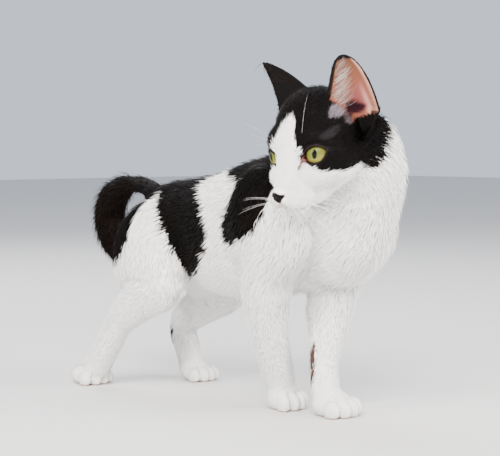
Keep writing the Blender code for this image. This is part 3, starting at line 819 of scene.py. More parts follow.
def makeEar(plan, upSteps=44, acrossSteps=36):
    # a thin cupped shell, thickest low down at its back
    us = -0.5 + 1.488 * (np.linspace(0, 1, upSteps + 1) ** 0.9)
    vs = np.linspace(-1, 1, acrossSteps + 1)
    sheet = earPoint(plan, us[:, None], vs[None, :])
    along = np.gradient(sheet, axis=0)
    sideways = np.gradient(sheet, axis=1)
    _, opening, _ = earAxes(plan)
    normal = unit(np.cross(along, sideways))
    normal *= np.sign(np.sum(normal * opening, axis=2).mean())
    edge = np.clip(1 - np.abs(vs), 0, 1)[None, :] * 6
    thick = 0.45 + 0.55 * np.minimum(edge, 1) + 0.5 * np.clip(1 - us, 0, 1)[:, None] ** 2
    inner = sheet + normal * (thick * 0.35)[..., None]
    outer = sheet - normal * (thick * 0.65)[..., None]
    rows, columns = sheet.shape[:2]
    count = rows * columns
    points = np.vstack([inner.reshape(-1, 3), outer.reshape(-1, 3)])
    index = np.arange(count).reshape(rows, columns)
    faces = []
    for layer, flip in ((0, False), (count, True)):
        a = index[:-1, :-1] + layer
        b = index[:-1, 1:] + layer
        c = index[1:, 1:] + layer
        d = index[1:, :-1] + layer
        quads = np.stack([a, b, c, d], axis=-1).reshape(-1, 4)
        faces += (quads[:, ::-1] if flip else quads).tolist()
    edges = [index[0, :], index[1:, -1], index[-1, -2::-1], index[-2:0:-1, 0]]
    border = np.concatenate(edges).tolist()
    for a, b in zip(border, border[1:] + border[:1]):
        faces.append((b, a, a + count, b + count))
    mesh = bpy.data.meshes.new("ear")
    mesh.from_pydata(fromHead(points).tolist(), [], faces)
    bm = bmesh.new()
    bm.from_mesh(mesh)
    bmesh.ops.recalc_face_normals(bm, faces=bm.faces)
    if bm.calc_volume(signed=True) < 0:
        bmesh.ops.reverse_faces(bm, faces=bm.faces)
    bmesh.ops.triangulate(bm, faces=bm.faces)
    bm.to_mesh(mesh)
    bm.free()
    return objectFrom("ear", mesh)


def sinkEarHollow(body):
    # the skin inside each cup drops to a hollow, darkened in paintSkin with painted shade
    points = pointsOf(body.data)
    head = toHead(points) / mm
    for plan in earPlans.values():
        rise, opening, _ = earAxes(plan)
        low = earPoint(plan, -0.12, 0.0) + opening * 7
        offset = head - low
        along = offset @ rise
        away = np.linalg.norm(offset - along[:, None] * rise, axis=1)
        inside = ramp(-away, -9, -4) * (np.abs(along) < 22)
        head -= rise * (6.0 * inside)[:, None]
    setPoints(body.data, fromHead(head))


def joinEars(body):
    for plan in earPlans.values():
        ear = makeEar(plan)
        join = body.modifiers.new("ear", "BOOLEAN")
        join.operation = "UNION"
        join.solver = "MANIFOLD"
        join.object = ear
        applyModifiers(body)
        bpy.data.objects.remove(ear, do_unlink=True)


def thinUnderCoat(body, kept):
    # fewer faces under the coat, and as many as before on the face and the paws
    points = pointsOf(body.data)
    under = ~(faceWanted(points) | detailWanted(points) | pawWanted(points))
    group = body.vertex_groups.new(name="under")
    group.add(np.flatnonzero(under).tolist(), 1.0, "REPLACE")
    thin = body.modifiers.new("thin", "DECIMATE")
    thin.ratio = kept
    thin.vertex_group = "under"
    applyModifiers(body)
    body.vertex_groups.clear()


def makeSkin():
    body = roughBody()
    setPoints(body.data, toSurface(pointsOf(body.data), skinField))
    relax(body, skinPlan["relax"])
    print("skin laid,", len(body.data.vertices), "points")
    refine(body, faceWanted)
    refine(body, detailWanted)
    refine(body, pawWanted)
    relax(body, 1, 0.3)
    thinUnderCoat(body, skinPlan["kept"])
    carveFace(body)
    sinkEarHollow(body)
    joinEars(body)
    points = pointsOf(body.data)
    points[:, 2] = np.maximum(points[:, 2], 0.1 * mm)
    setPoints(body.data, points + standShift)
    body.data.shade_smooth()
    body.data.calc_loop_triangles()
    print("skin finished,", len(body.data.loop_triangles), "triangles")
    return body


skin = makeSkin()


# ---- eyes

def makeEyes():
    made = []
    for name, side in (("eyeLeft", 1), ("eyeRight", -1)):
        bm = bmesh.new()
        bmesh.ops.create_uvsphere(bm, u_segments=64, v_segments=48, radius=1)
        frameColumns = eyeFrame(side)
        local = np.array([v.co for v in bm.verts])
        # the clear front of the eye stands a little proud
        proud = ramp(local[:, 2], 0.62, 0.95) * 0.06
        local = local * (1 + proud)[:, None] * eyePlan["radius"]
        places = fromHead(eyeCentre(side) + local @ frameColumns.T) + standShift
        for vert, place in zip(bm.verts, places):
            vert.co = place
        bmesh.ops.recalc_face_normals(bm, faces=bm.faces)
        mesh = bpy.data.meshes.new(name)
        bm.to_mesh(mesh)
        bm.free()
        spot = mesh.attributes.new("eyeSpot", "FLOAT_VECTOR", "POINT")
        spot.data.foreach_set("vector", (local / eyePlan["radius"]).ravel())
        mesh.shade_smooth()
        made.append(objectFrom(name, mesh))
    return made


eyes = makeEyes()
print("eyes made")

# ---- markings, the same for skin and coat: outlines in mm as seen from the side (y, z)

markingPlans = {
    "rightFlank": [(58, 178), (50, 165), (34, 148), (25, 137), (18.5, 123), (9, 110), (8, 101), (-4, 105),
                   (-16, 114), (-28, 126), (-31, 138), (-27, 150), (-17, 161), (-7, 169), (4, 178)],
    "rump": [(50, 170), (55, 160), (59, 152), (62.5, 143), (62.5, 131), (69, 124), (78, 117.5),
             (86, 111), (100, 108), (125, 108), (135, 140), (110, 175), (70, 180)],
    "rightShoulder": [(-68, 196), (-63, 180), (-57, 164), (-50, 149), (-55, 132), (-69, 134), (-92, 146),
                      (-99, 157), (-106, 168), (-116, 184), (-130, 196), (-110, 212), (-80, 206)],
    "leftFlank": [(66, 176), (54, 152), (46, 126), (32, 107), (15, 104), (5, 119), (-9, 141),
                  (-16, 162), (-12, 182)],
    "leftShoulder": [(-52, 196), (-54, 176), (-62, 158), (-76, 150), (-92, 160), (-98, 176), (-96, 200)],
}
# centre and half size of the two spots on the left foreleg and the one on the left hock
legSpots = [
    ((-6.5, -109.5, 44), (7, 7, 12)),
    ((-8.5, -112.5, 29), (3.5, 5, 9)),
    ((29, 106, 41), (9, 8, 9)),
]
# dark hair is brown this near to the first spot: wholly within, and not at all beyond, in mm
brownReach = (22, 34)
# half width of the stripe along the spine at each y
spineRows = [(104, 17), (80, 15), (50, 15), (10, 15), (-8, 10), (-26, 7), (-34, 18), (-50, 25), (-58, 28),
             (-70, 33), (-90, 37)]
# half width and middle of the white blaze at each height
blazeRows = [(-10, 12.5), (0, 12), (6, 13), (9, 12.5), (13, 10), (18, 7.5), (23, 5.5), (26, 3),
             (28, 0), (31, -5)]
blazeMiddle = [(0, -2), (6, -3.5), (9, -5), (13, -3.5), (18, -2), (23, 0), (26, 1.5), (32, 2)]
# the lower edge of the mask by the angle round the head
maskRows = [(0, -2), (22, -1), (33, -6), (43, -10.5), (53, -13.5), (70, -16.5), (91, -19.5),
            (110, -22), (126, -24), (134, -21), (147, -11), (180, -8)]
# how far back the black reaches on the near side, by height
napeRows = [(-30, 40), (-24, 44), (-21, 50.5), (-13, 56), (-10, 66), (-6, 76), (0, 86), (12, 110)]


def outlineDistance(points, outline):
    # mm to a closed outline in the plane, below zero inside
    outline = np.array(outline, float)
    away = np.full(len(points), 999.0)
    inside = np.zeros(len(points), bool)
    for start, end in zip(outline, np.roll(outline, -1, axis=0)):
        run = end - start
        t = np.clip((points - start) @ run / (run @ run), 0, 1)
        away = np.minimum(away, np.linalg.norm(points - start - t[:, None] * run, axis=1))
        crosses = (points[:, 1] < start[1]) != (points[:, 1] < end[1])
        rise = run[1] if run[1] else 1e-9
        meets = points[:, 0] < start[0] + (points[:, 1] - start[1]) * run[0] / rise
        inside ^= crosses & meets
    return np.where(inside, -away, away)


def rowValue(values, rows):
    rows = np.array(sorted(rows), float)
    return np.interp(values, rows[:, 0], rows[:, 1])


def darkDistance(points):
    # mm to the edge of the black fur, below zero inside it; points in metres in the cat's frame
    place = points / mm
    head = toHead(points) / mm
    x, y, z = place.T
    side = place[:, 1:]
    right = np.minimum(outlineDistance(side, markingPlans["rightFlank"]),
                       outlineDistance(side, markingPlans["rightShoulder"]))
    left = np.minimum(outlineDistance(side, markingPlans["leftFlank"]),
                      outlineDistance(side, markingPlans["leftShoulder"]))
    result = np.where(x < 0, right, left)
    stripe = np.maximum(np.abs(x + 1) - rowValue(y, spineRows), 158 - z)
    result = np.minimum(result, np.maximum(stripe, np.maximum(-92 - y, y - 120)))
    result = np.minimum(result, outlineDistance(side, markingPlans["rump"]))
    # the tail, down to a slanting line behind the rump, and its root
    tail = np.maximum(np.maximum(94 - y, 82 - z), 0.35 * (118 - y) + 0.9 * (112 - z))
    tailRoot = np.maximum(np.maximum(86 - y, 132 - z), np.abs(x) - 17)
    result = np.minimum(result, np.minimum(tail, tailRoot))
    for centre, half in legSpots:
        spot = np.linalg.norm((place - np.array(centre)) / np.array(half), axis=1) - 1
        result = np.minimum(result, spot * min(half))
    # the mask
    hx, hy, hz = head.T
    angle = np.degrees(np.arctan2(np.abs(hx), 15 - hy))
    mask = rowValue(angle, maskRows) - hz
    blaze = rowValue(hz, blazeRows) - np.abs(hx - rowValue(hz, blazeMiddle))
    mask = np.maximum(mask, np.where(hy < 20, blaze, -99))
    nape = np.where(hx > -8, hy - rowValue(hz, napeRows), np.maximum(hy - 100, 176 - z))
    mask = np.maximum(mask, nape)
    onHead = (np.linalg.norm(head - np.array([0, 15, 10]), axis=1) < 82) & (z > 165)
    onHead &= (hx > -34) | (hz > 22)
    return np.where(onHead, np.minimum(mask, np.where(hy > 34, result, 99)), result)


def wander(points, size, seed=0):
    # slow waves over the body, from -1 to 1
    turns = np.random.default_rng(seed).normal(size=(3, 6))
    phases = np.random.default_rng(seed + 1).uniform(0, 6.28, 6)
    return np.sin(points @ turns * (2.4 / size) + phases).sum(axis=1) / 3.2


def earPlace(head, plan):
    # where a point is on the ear: along it, from front edge to back edge, and 1 on the shell itself
    rise, opening, across = earAxes(plan)
    length = np.linalg.norm(plan["tip"] - plan["root"])
    offset = head - plan["root"]
    u = offset @ rise / length
    offset = offset - across * (plan["lean"] * np.sin(math.pi * np.clip(u, 0, 1)))[:, None]
    above = np.clip(1 - u, 0.001, 1) ** plan["narrowing"]
    half = plan["width"] * np.where(u > 0, above, np.maximum(1 + 1.1 * u, 0.05))
    wrap = np.radians(95 - 50 * u)
    radius = half / np.sin(np.minimum(wrap, math.pi / 2))
    sideways = offset @ across / radius
    forward = (offset @ opening / radius - 0.396) / 0.72
    return u, np.arctan2(sideways, -forward) / wrap, np.hypot(sideways, forward)


def earParts(head):
    # for each point: is it on an ear, is it inside the cup, and its place there
    onEar = np.zeros(len(head), bool)
    inCup = np.zeros(len(head), bool)
    place = np.zeros((len(head), 2))
    lies = np.zeros((len(head), 3))
    for plan in earPlans.values():
        u, v, shell = earPlace(head, plan)
        near = (u > -0.12) & (u < 1.05) & (np.abs(v) < 1.15) & (np.abs(shell - 1) < 0.34)
        low = skullDistance(head * mm) / mm
        near &= low > 1.2
        onEar |= near
        foot = -0.22 + 0.16 * ramp(v, 0.05, 0.9)
        cup = (u > foot) & (u < 1.02) & (np.abs(v) < 1.0) & (shell < 1.0 - 0.02) & (low > -9)
        inCup |= cup
        place[near | cup] = np.column_stack([u, v])[near | cup]
        lies[near | cup] = earAxes(plan)[0]
    return onEar, inCup, place, lies


# the nose leather: half width by height, and its upper edge by the distance from the middle
noseSides = [(-23.8, 0.6), (-22, 2.1), (-20.2, 3.8), (-18.6, 5.5), (-17, 6.7), (-15, 7.4)]
noseTop = [(0, -14.2), (3.5, -15.2), (6, -14.8), (8.6, -13.8)]


def noseMask(head):
    # mm to the nose leather, below zero on it
    x, y, z = head.T
    wide = rowValue(z, noseSides) + np.minimum(z - noseSides[0][0], 0)
    beside = np.abs(x + nosePlan["shift"]) - wide
    over = z - rowValue(np.abs(x), noseTop) + nosePlan["tilt"] * x
    return np.maximum(np.maximum(beside, over), y + nosePlan["behind"])


tearLine = np.array([(11.8, -9.0, 1.0), (9.6, -12.0, -1.8), (8.6, -16.0, -4.6)])


def bareDistance(head):
    # mm to what hair must not cover: the eye openings, inner corners, nose and mouth
    result = np.minimum(noseMask(head), mouthDistance(head) - 1.3)
    for side in (1, -1):
        local = inEye(head, side)
        result = np.minimum(result, np.where(local[:, 2] > 0, lidDistance(local) - 0.7, 99))
        tear = tearLine * np.array([side, 1, 1])
        result = np.minimum(result, lineDistance(head, tear) - 0.9)
    return result


def toeGroove(points):
    # mm to the nearest line between two toes
    result = np.full(len(points), 9.0)
    for leg in forms["legs"].values():
        centre = leg["pad"]["centre"]
        near = (np.linalg.norm(points - centre, axis=1) < 34 * mm) & (points[:, 2] < 17 * mm)
        if near.any():
            away = np.sort([ballDistance(points[near], toe) for toe in leg["toes"]], axis=0) / mm
            result[near] = np.where(away[0] < 2.5, away[1] - away[0], 9)
    return result


# ---- the coat: tapered tufts of hair, laid from nose to tail

tuftPlan = {
    "count": 138000,
    "most": 19500,      # tufts in one piece
    "fewest": 12,
    # how far the normals of the hair lean towards the skin's
    "soft": {"White": 0.55, "Black": 0.12},
    "stray": 0.13,      # share of long thin hairs that stand out of the coat
    "body": {"density": 0.85, "length": 10.5, "width": 0.85, "thick": 0.2},
    "chest": {"density": 0.85, "length": 12.5, "width": 0.9, "thick": 0.22},
    "leg": {"density": 1.15, "length": 6.5, "width": 0.7, "thick": 0.17},
    "foot": {"density": 1.9, "length": 2.7, "width": 0.5, "thick": 0.14},
    "tail": {"density": 1.6, "length": 12.5, "width": 0.85, "thick": 0.26},
    "crown": {"density": 1.7, "length": 5.6, "width": 0.6, "thick": 0.17},
    "face": {"density": 3.0, "length": 3.0, "width": 0.42, "thick": 0.13},
    "ear": {"density": 2.6, "length": 2.8, "width": 0.42, "thick": 0.12},
}
# patches of thin fur, whose grey is partly skin showing through and partly a painted sheen
thinFurSheenPatches = [
    {"centre": (27.5, 19.5, 23), "half": (6.5, 9, 5), "share": 0.6, "colour": (0.36, 0.31, 0.36)},
    {"centre": (28.5, 29, 15), "half": (5, 8, 5), "share": 0.25, "colour": (0.34, 0.26, 0.28)},
    {"centre": (25, 6, 12), "half": (8, 10, 3.5), "share": 0.06, "colour": (0.30, 0.26, 0.30)},
]
coatPieces = {
    "coatTrunk": ["trunk"],
    "coatNeck": ["neck"],
    "coatHead": ["head", "ear"],
    "coatTail": ["tail"],
    "coatForelegs": ["foreLeft", "foreRight"],
    "coatHindlegs": ["hindLeft", "hindRight"],
}
# where the shade under the jaw is painted into the throat's fur, which is also a little creamier there
throatShadePatch = {"centre": (26, 4, -44), "half": (24, 26, 17), "share": 0.9}
furColours = {
    "white": (0.93, 0.92, 0.90),
    "cream": (0.90, 0.87, 0.83),
    "black": (0.0035, 0.003, 0.003),
    "brown": (0.009, 0.005, 0.0035),
    "spot": (0.10, 0.055, 0.035),
    "lip": (0.50, 0.30, 0.26),
    "lowerLip": (0.80, 0.60, 0.54),
    "throatShade": (0.74, 0.66, 0.59),
}


def regionShares(points):
    # how much each region rules at a point
    head = toHead(points) / mm
    _, y, z = (points / mm).T
    near = ramp(-np.linalg.norm(head - headMiddle, axis=1), -52, -42)
    near = np.maximum(near, muzzleShare(head))
    layers = [
        ("chest", ramp(-y, 96, 126) * ramp(z, 92, 125)),
        ("leg", ramp(-z, -98, -74)),
        ("foot", ramp(-z, -36, -20)),
        ("tail", ramp(y, 102, 118) * ramp(z, 72, 88)),
        ("crown", near),
        ("face", near * ramp(-head[:, 1], -16, 4)),
        ("ear", earParts(head)[0].astype(float)),
    ]
    shares = {"body": np.ones(len(points))}
    for name, share in layers:
        for other in shares:
            shares[other] = shares[other] * (1 - share)
        shares[name] = share
    return shares


def sharedValue(shares, key):
    return sum(share * tuftPlan[name][key] for name, share in shares.items())


def lieOfCoat(points, normals):
    # the way the hair lies: back from the nose, down the legs, out along the tail
    place = points / mm
    head = toHead(points) / mm
    total = np.zeros_like(points)

    def add(field, away, reach=9.0):
        nonlocal total
        total = total + field * np.exp(-np.clip(away / mm, -4, 60) / reach)[:, None]

    def along(tube, sign):
        low, t = placeOnTube(points, tube)
        return unit(tube["along"][low] * (1 - t) + tube["along"][low + 1] * t) * sign

    trunkLie = along(forms["trunk"], -1) + np.array([0, 0, -0.35])
    add(trunkLie, tubeDistance(points, forms["trunk"]))
    neckLie = along(forms["neck"], -1) + np.array([0, 0.1, -0.5])
    add(neckLie, tubeDistance(points, forms["neck"]))
    add(along(forms["tail"], 1), tubeDistance(points, forms["tail"]), 5.0)
    for leg in forms["legs"].values():
        down = along(leg["tube"], 1)
        toes = ramp(-place[:, 2], -30, -14)[:, None]
        down = down * (1 - toes) + np.array([0, -1, -0.35]) * toes
        add(down, legDistance(points, leg))
    nose = np.array([0, -36, -17])
    fromNose = unit(head - nose) + np.array([0, 0.25, 0])
    brow = ramp(head[:, 2], 8, 20)[:, None]
    fromNose = fromNose * (1 - 0.4 * brow) + np.array([0, 0.6, 0.3]) * brow
    skull = headDistance(points)
    headLie = fromNose @ headAxes.T
    total = total + headLie * (2.5 * np.exp(-np.clip(skull / mm, -4, 60) / 4.0))[:, None]
    onEar, _, _, rises = earParts(head)
    total[onEar] = rises[onEar] @ headAxes.T
    total = unit(total)
    # a little wandering, so that no two patches lie quite alike
    sideways = np.cross(normals, total)
    sway = 0.14 * wander(place, 30, 3) + 0.05 * wander(place, 9, 5)
    total = total + sideways * sway[:, None]
    total -= normals * np.sum(total * normals, axis=1)[:, None]
    return unit(total)


def pickRoots(mesh, count):
    points = pointsOf(mesh) - standShift
    normals = normalsOf(mesh)
    mesh.calc_loop_triangles()
    corners = np.empty(len(mesh.loop_triangles) * 3, np.int32)
    mesh.loop_triangles.foreach_get("vertices", corners)
    corners = corners.reshape(-1, 3)
    a, b, c = points[corners[:, 0]], points[corners[:, 1]], points[corners[:, 2]]
    area = np.linalg.norm(np.cross(b - a, c - a), axis=1) / 2 / mm ** 2
    middle = (a + b + c) / 3
    shares = regionShares(middle)
    weight = area * sharedValue(shares, "density")
    head = toHead(middle) / mm
    onEar, inCup, spots, _ = earParts(head)
    weight[inCup | (onEar & (spots[:, 0] > 0.93))] = 0
    weight[bareDistance(head) < 0.15] = 0
    weight[middle[:, 2] < 1.6 * mm] = 0
    weight[toeGroove(middle) < 0.8] = 0
    reach = np.cumsum(weight)
    wanted = (np.arange(count) + dice.random(count)) / count * reach[-1]
    picked = np.minimum(np.searchsorted(reach, wanted), len(reach) - 1)
    r = np.sqrt(dice.random(count))
    s = dice.random(count)
    mix = np.column_stack([1 - r, r * (1 - s), r * s])
    roots = (points[corners[picked]] * mix[:, :, None]).sum(axis=1)
    facing = unit((normals[corners[picked]] * mix[:, :, None]).sum(axis=1))
    return roots, facing


tuftFaces = np.array([
    (0, 1, 2), (0, 3, 4), (0, 4, 1), (1, 4, 5), (1, 5, 2), (2, 5, 3), (2, 3, 0),
    (3, 6, 4), (4, 6, 5), (5, 6, 3),
])


def meshFromArrays(name, points, faces):
    mesh = bpy.data.meshes.new(name)
    mesh.vertices.add(len(points))
    mesh.vertices.foreach_set("co", np.ascontiguousarray(points, np.float32).ravel())
    mesh.loops.add(faces.size)
    mesh.loops.foreach_set("vertex_index", np.ascontiguousarray(faces, np.int32).ravel())
    mesh.polygons.add(len(faces))
    mesh.polygons.foreach_set("loop_start", np.arange(0, faces.size, faces.shape[1], dtype=np.int32))
    mesh.update(calc_edges=True)
    mesh.shade_smooth()
    return mesh


def addBakeMap(mesh, places):
    layer = mesh.uv_layers.new(name="OFBake")
    corner = np.empty(len(mesh.loops), np.int32)
    mesh.loops.foreach_get("vertex_index", corner)
    layer.data.foreach_set("uv", np.ascontiguousarray(places[corner], np.float32).ravel())


def addColours(mesh, name, colours):
    layer = mesh.attributes.new(name, "FLOAT_COLOR", "POINT")
    full = np.column_stack([colours, np.ones(len(colours))])
    layer.data.foreach_set("color", np.ascontiguousarray(full, np.float32).ravel())


def softenNormals(mesh, facing, share):
    # leans the normals of every tuft towards those of the skin under it
    leaning = normalsOf(mesh).reshape(len(facing), -1, 3) * (1 - share) + facing[:, None, :] * share
    mesh.normals_split_custom_set_from_vertices(unit(leaning).reshape(-1, 3).tolist())


def makeTufts(name, tufts, chart, material, soft):
    # each tuft is a closed three-sided taper: root ring, middle ring and tip
    roots, facing, lie = tufts["roots"], tufts["facing"], tufts["lie"]
    length, width, thick, lift = tufts["length"], tufts["width"], tufts["thick"], tufts["lift"]
    count = len(roots)
    across = np.cross(lie, facing)
    bend = tufts["bend"]
    base = roots - facing * (0.5 * mm)
    middle = roots + lie * (0.46 * length)[:, None] + across * (bend * length * 0.5)[:, None]
    tip = roots + lie * length[:, None] + across * (bend * length)[:, None]
    # both stand at their own height over the skin, so that the hair follows the body
    middle = middle + facing * (0.66 * lift - tufts["dropMiddle"])[:, None]
    tip = tip + facing * (lift - tufts["dropTip"])[:, None]
    half = across * (width / 2)[:, None]
    ridge = facing * thick[:, None]
    points = np.stack([
        base - half * 0.8, base + half * 0.8, base + ridge + lie * (0.3 * mm),
        middle - half, middle + half, middle + ridge,
        tip,
    ], axis=1).reshape(-1, 3)
    faces = (tuftFaces[None, :, :] + 7 * np.arange(count)[:, None, None]).reshape(-1, 3)
    mesh = meshFromArrays(name, points + standShift, faces)
    patch = np.array([(0, 0), (1, 0), (0.5, 0), (0, 0.5), (1, 0.5), (0.5, 0.5), (0.5, 1)]) * 0.003
    places = np.clip(chart, 0, 0.997)[:, None, :] + patch[None, :, :]
    addBakeMap(mesh, places.reshape(-1, 2))
    # painted shade: each tuft is darker at its root, down among the other hair, and lighter at its tip and
    # along its top ridge
    shade = np.array([0.86, 0.86, 0.9, 1.0, 1.0, 1.04, 1.1])
    colours = (tufts["colour"][:, None, :] * shade[None, :, None]).reshape(-1, 3)
    addColours(mesh, "coatColour", colours)
    softenNormals(mesh, facing, soft)
    mesh.materials.append(material)
    return objectFrom(name, mesh)


def regionOf(points):
    # which chart a root belongs to
    head = toHead(points) / mm
    names = ["trunk", "neck", "head", "tail", "foreLeft", "foreRight", "hindLeft", "hindRight"]
    away = [tubeDistance(points, forms["trunk"]) - 2 * mm, tubeDistance(points, forms["neck"]),
            headDistance(points) - 3 * mm, tubeDistance(points, forms["tail"])]
    for leg in names[4:]:
        away.append(legDistance(points, forms["legs"][leg]) + np.where(points[:, 2] > 105 * mm, 8 * mm, 0))
    region = np.argmin(np.array(away), axis=0)
    onEar, inCup, _, _ = earParts(head)
    region[onEar | inCup] = len(names)
    return region, names + ["ear"]


def chartPlaces(points, region, names):
    place = points / mm
    head = toHead(points) / mm
    chart = np.zeros((len(points), 2))
    for i, name in enumerate(names):
        mine = region == i
        p = place[mine]
        h = head[mine]
        if name in ("trunk", "neck"):
            around = np.arctan2(p[:, 0], p[:, 2] - 140) / (2 * math.pi) + 0.5
            chart[mine] = np.column_stack([around, (p[:, 1] + 185) / 310])
        elif name == "head":
            around = np.arctan2(h[:, 0], 12 - h[:, 1]) / (2 * math.pi) + 0.5
            up = h[:, 2] / np.maximum(np.linalg.norm(h - headMiddle, axis=1), 1)
            chart[mine] = np.column_stack([around, 0.5 + np.arcsin(np.clip(up, -1, 1)) / math.pi])
        elif name == "ear":
            _, _, spots, _ = earParts(h)
            half = np.where(h[:, 0] > 0, 0.75, 0.25)
            chart[mine] = np.column_stack([half + 0.2 * spots[:, 1], 0.15 + 0.8 * spots[:, 0]])
        elif name == "tail":
            low, t = placeOnTube(points[mine], forms["tail"])
            middle = forms["tail"]["centres"][low] / mm
            front = np.sum((p - middle) * forms["tail"]["front"][low], axis=1)
            around = np.arctan2(p[:, 0] - middle[:, 0], front) / (2 * math.pi) + 0.5
            chart[mine] = np.column_stack([around, (low + t[:, 0]) / len(forms["tail"]["centres"])])
        else:
            low, t = placeOnTube(points[mine], forms["legs"][name]["tube"])
            middle = forms["legs"][name]["tube"]["centres"][low] / mm
            around = np.arctan2(p[:, 0] - middle[:, 0], p[:, 1] - middle[:, 1]) / (2 * math.pi) + 0.5
            strip = names.index(name) - 4
            chart[mine] = np.column_stack([(strip + 0.98 * around) / 4, p[:, 2] / 175])
    return chart


def tuftColours(roots, dark):
    place = roots / mm
    count = len(roots)
    warm = np.clip(0.35 + 0.35 * wander(place, 40, 21) + 0.25 * dice.normal(size=count), 0, 1)
    warm = np.clip(warm + 0.35 * ramp(-place[:, 2], -60, -20), 0, 1)[:, None]
    white = np.array(furColours["white"]) * (1 - warm) + np.array(furColours["cream"]) * warm
    # painted shade under the jaw: the throat's fur turns beige, partly its own creamier tone and partly
    # painted shade
    throatShade = toHead(roots) / mm - np.array(throatShadePatch["centre"])
    throatShade = np.linalg.norm(throatShade / np.array(throatShadePatch["half"]), axis=1)
    throatShade = (throatShadePatch["share"] * ramp(-throatShade, -1.2, -0.3))[:, None]
    white = white * (1 - throatShade) + np.array(furColours["throatShade"]) * throatShade
    tail = ramp(place[:, 1], 96, 112) * ramp(place[:, 2], 72, 88)
    brown = 0.15 + 0.25 * tail + 0.25 * wander(place, 30, 31) + 0.2 * dice.normal(size=count)
    brown = np.clip(brown, 0, 1)[:, None]
    black = np.array(furColours["black"]) * (1 - brown) + np.array(furColours["brown"]) * brown
    spot = np.linalg.norm(place - np.array(legSpots[0][0]), axis=1)
    spot = ramp(-spot, -brownReach[1], -brownReach[0])[:, None]
    black = black * (1 - spot) + np.array(furColours["spot"]) * spot
    shade = 1 + 0.05 * dice.normal(size=count)[:, None]
    colours = np.where(dark[:, None], black * shade ** 3, np.minimum(white * shade, 0.97))
    head = toHead(roots) / mm
    mouth = mouthDistance(head)
    lip = mouthPlan["lipShare"] * np.exp(-(mouth / mouthPlan["lipReach"]) ** 2)
    lip = (lip * (noseMask(head) > 0.5))[:, None]
    colours = colours * (1 - lip) + np.array(furColours["lip"]) * lip
    lower = mouthPlan["lowerShare"] * ramp(-mouth, -8, -3) * ramp(-head[:, 2], 30, 33)
    lower = (lower * (head[:, 1] < -12))[:, None]
    colours = colours * (1 - lower) + np.array(furColours["lowerLip"]) * lower
    # thin fur before the ears and over the eyes, paler where skin shows through and lighter still with a
    # painted grey sheen
    head[:, 0] = np.abs(head[:, 0])
    for patch in thinFurSheenPatches:
        away = np.linalg.norm((head - np.array(patch["centre"])) / np.array(patch["half"]), axis=1)
        share = ramp(-away, -1.15, -0.75) * patch["share"] * dice.uniform(0.5, 1.1, count)
        share = share.clip(0, 1)[:, None]
        colours = colours * (1 - share) + np.array(patch["colour"]) * share
    return colours


def makeCoat(materials):
    roots, facing = pickRoots(skin.data, tuftPlan["count"])
    count = len(roots)
    shares = regionShares(roots)
    lie = lieOfCoat(roots, facing)
    turn = 0.09 * dice.normal(size=count)
    lie = unit(lie + np.cross(facing, lie) * turn[:, None])
    edge = darkDistance(roots)
    ragged = 0.9 * dice.normal(size=count) + 1.6 * wander(roots / mm, 6, 41)
    ragged = ragged * (1 - 0.5 * shares["face"])
    dark = edge + ragged < 0
    head = toHead(roots) / mm
    onEar, _, earSpots, _ = earParts(head)
    depth = coatDepth(roots)
    depth[onEar] = 0.3 * mm
    size = np.clip(1 + 0.16 * dice.normal(size=count), 0.6, 1.5)
    length = sharedValue(shares, "length") * mm * size
    length[onEar] *= 1 - 0.6 * ramp(earSpots[onEar, 0], 0.8, 0.97)
    fringe = (np.abs(edge) < 4) & ~onEar & (head[:, 1] > -14) & (shares["crown"] + shares["face"] > 0.5)
    length[fringe] *= dice.uniform(1.0, 2.3, fringe.sum())
    # hair that would run over an eye, the nose or the mouth stops short of it
    room = bareDistance(head)
    ahead = bareDistance(toHead(roots + lie * length[:, None]) / mm)
    halfway = bareDistance(toHead(roots + lie * (length / 2)[:, None]) / mm)
    short = (np.minimum(ahead, halfway) < 0.2) & (room < 14)
    length[short] = np.minimum(length[short], np.maximum(0.55 * room[short], 0.7) * mm)
    depth[short] = np.minimum(depth[short], 0.25 * length[short] + 0.1 * mm)
    width = sharedValue(shares, "width") * mm * np.clip(1 + 0.15 * dice.normal(size=count), 0.6, 1.5)
    stray = (dice.random(count) < tuftPlan["stray"]) & ~short & ~onEar & (shares["foot"] < 0.5)
    width[stray] *= 0.4
    length[stray] *= 1.15
    depth[stray] = depth[stray] * 1.7 + 0.5 * mm
    tufts = {
        "roots": roots,
        "facing": facing,
        "lie": lie,
        "length": length,
        "width": width,
        "thick": sharedValue(shares, "thick") * mm,
        "lift": depth * np.clip(0.85 + 0.10 * dice.normal(size=count), 0.4, 1.2),
        "bend": 0.04 * dice.normal(size=count),
        "colour": tuftColours(roots, dark),
    }
    reach = tufts["length"][:, None]
    for key, share in (("dropMiddle", 0.46), ("dropTip", 1.0)):
        height = skinField(roots + lie * reach * share)
        height[onEar] = 0
        limit = 0.35 * tufts["length"] * share
        tufts[key] = np.clip(height, -0.5 * limit, limit) * (1 - 0.75 * shares["tail"])
    region, names = regionOf(roots)
    chart = chartPlaces(roots, region, names)
    made = []
    for label, regions in coatPieces.items():
        members = [names.index(region) for region in regions]
        for shade, wanted in (("White", ~dark), ("Black", dark)):
            chosen = np.nonzero(np.isin(region, members) & wanted)[0]
            if len(chosen) < tuftPlan["fewest"]:
                continue
            chosen = chosen[np.argsort(roots[chosen, 1], kind="stable")]
            parts = math.ceil(len(chosen) / tuftPlan["most"])
            for i, some in enumerate(np.array_split(chosen, parts)):
                name = label + shade + (str(i + 1) if parts > 1 else "")
                subset = {key: values[some] for key, values in tufts.items()}
                piece = makeTufts(name, subset, chart[some], materials[shade], tuftPlan["soft"][shade])
                made.append((piece, "coat_white" if shade == "White" else "coat_black"))
                print(name, len(some), "tufts")
    return made


# ---- materials

def addNode(tree, kind, place=(0, 0), **values):
    node = tree.nodes.new(kind)
    node.location = place
    for key, value in values.items():
        setattr(node, key, value)
    return node


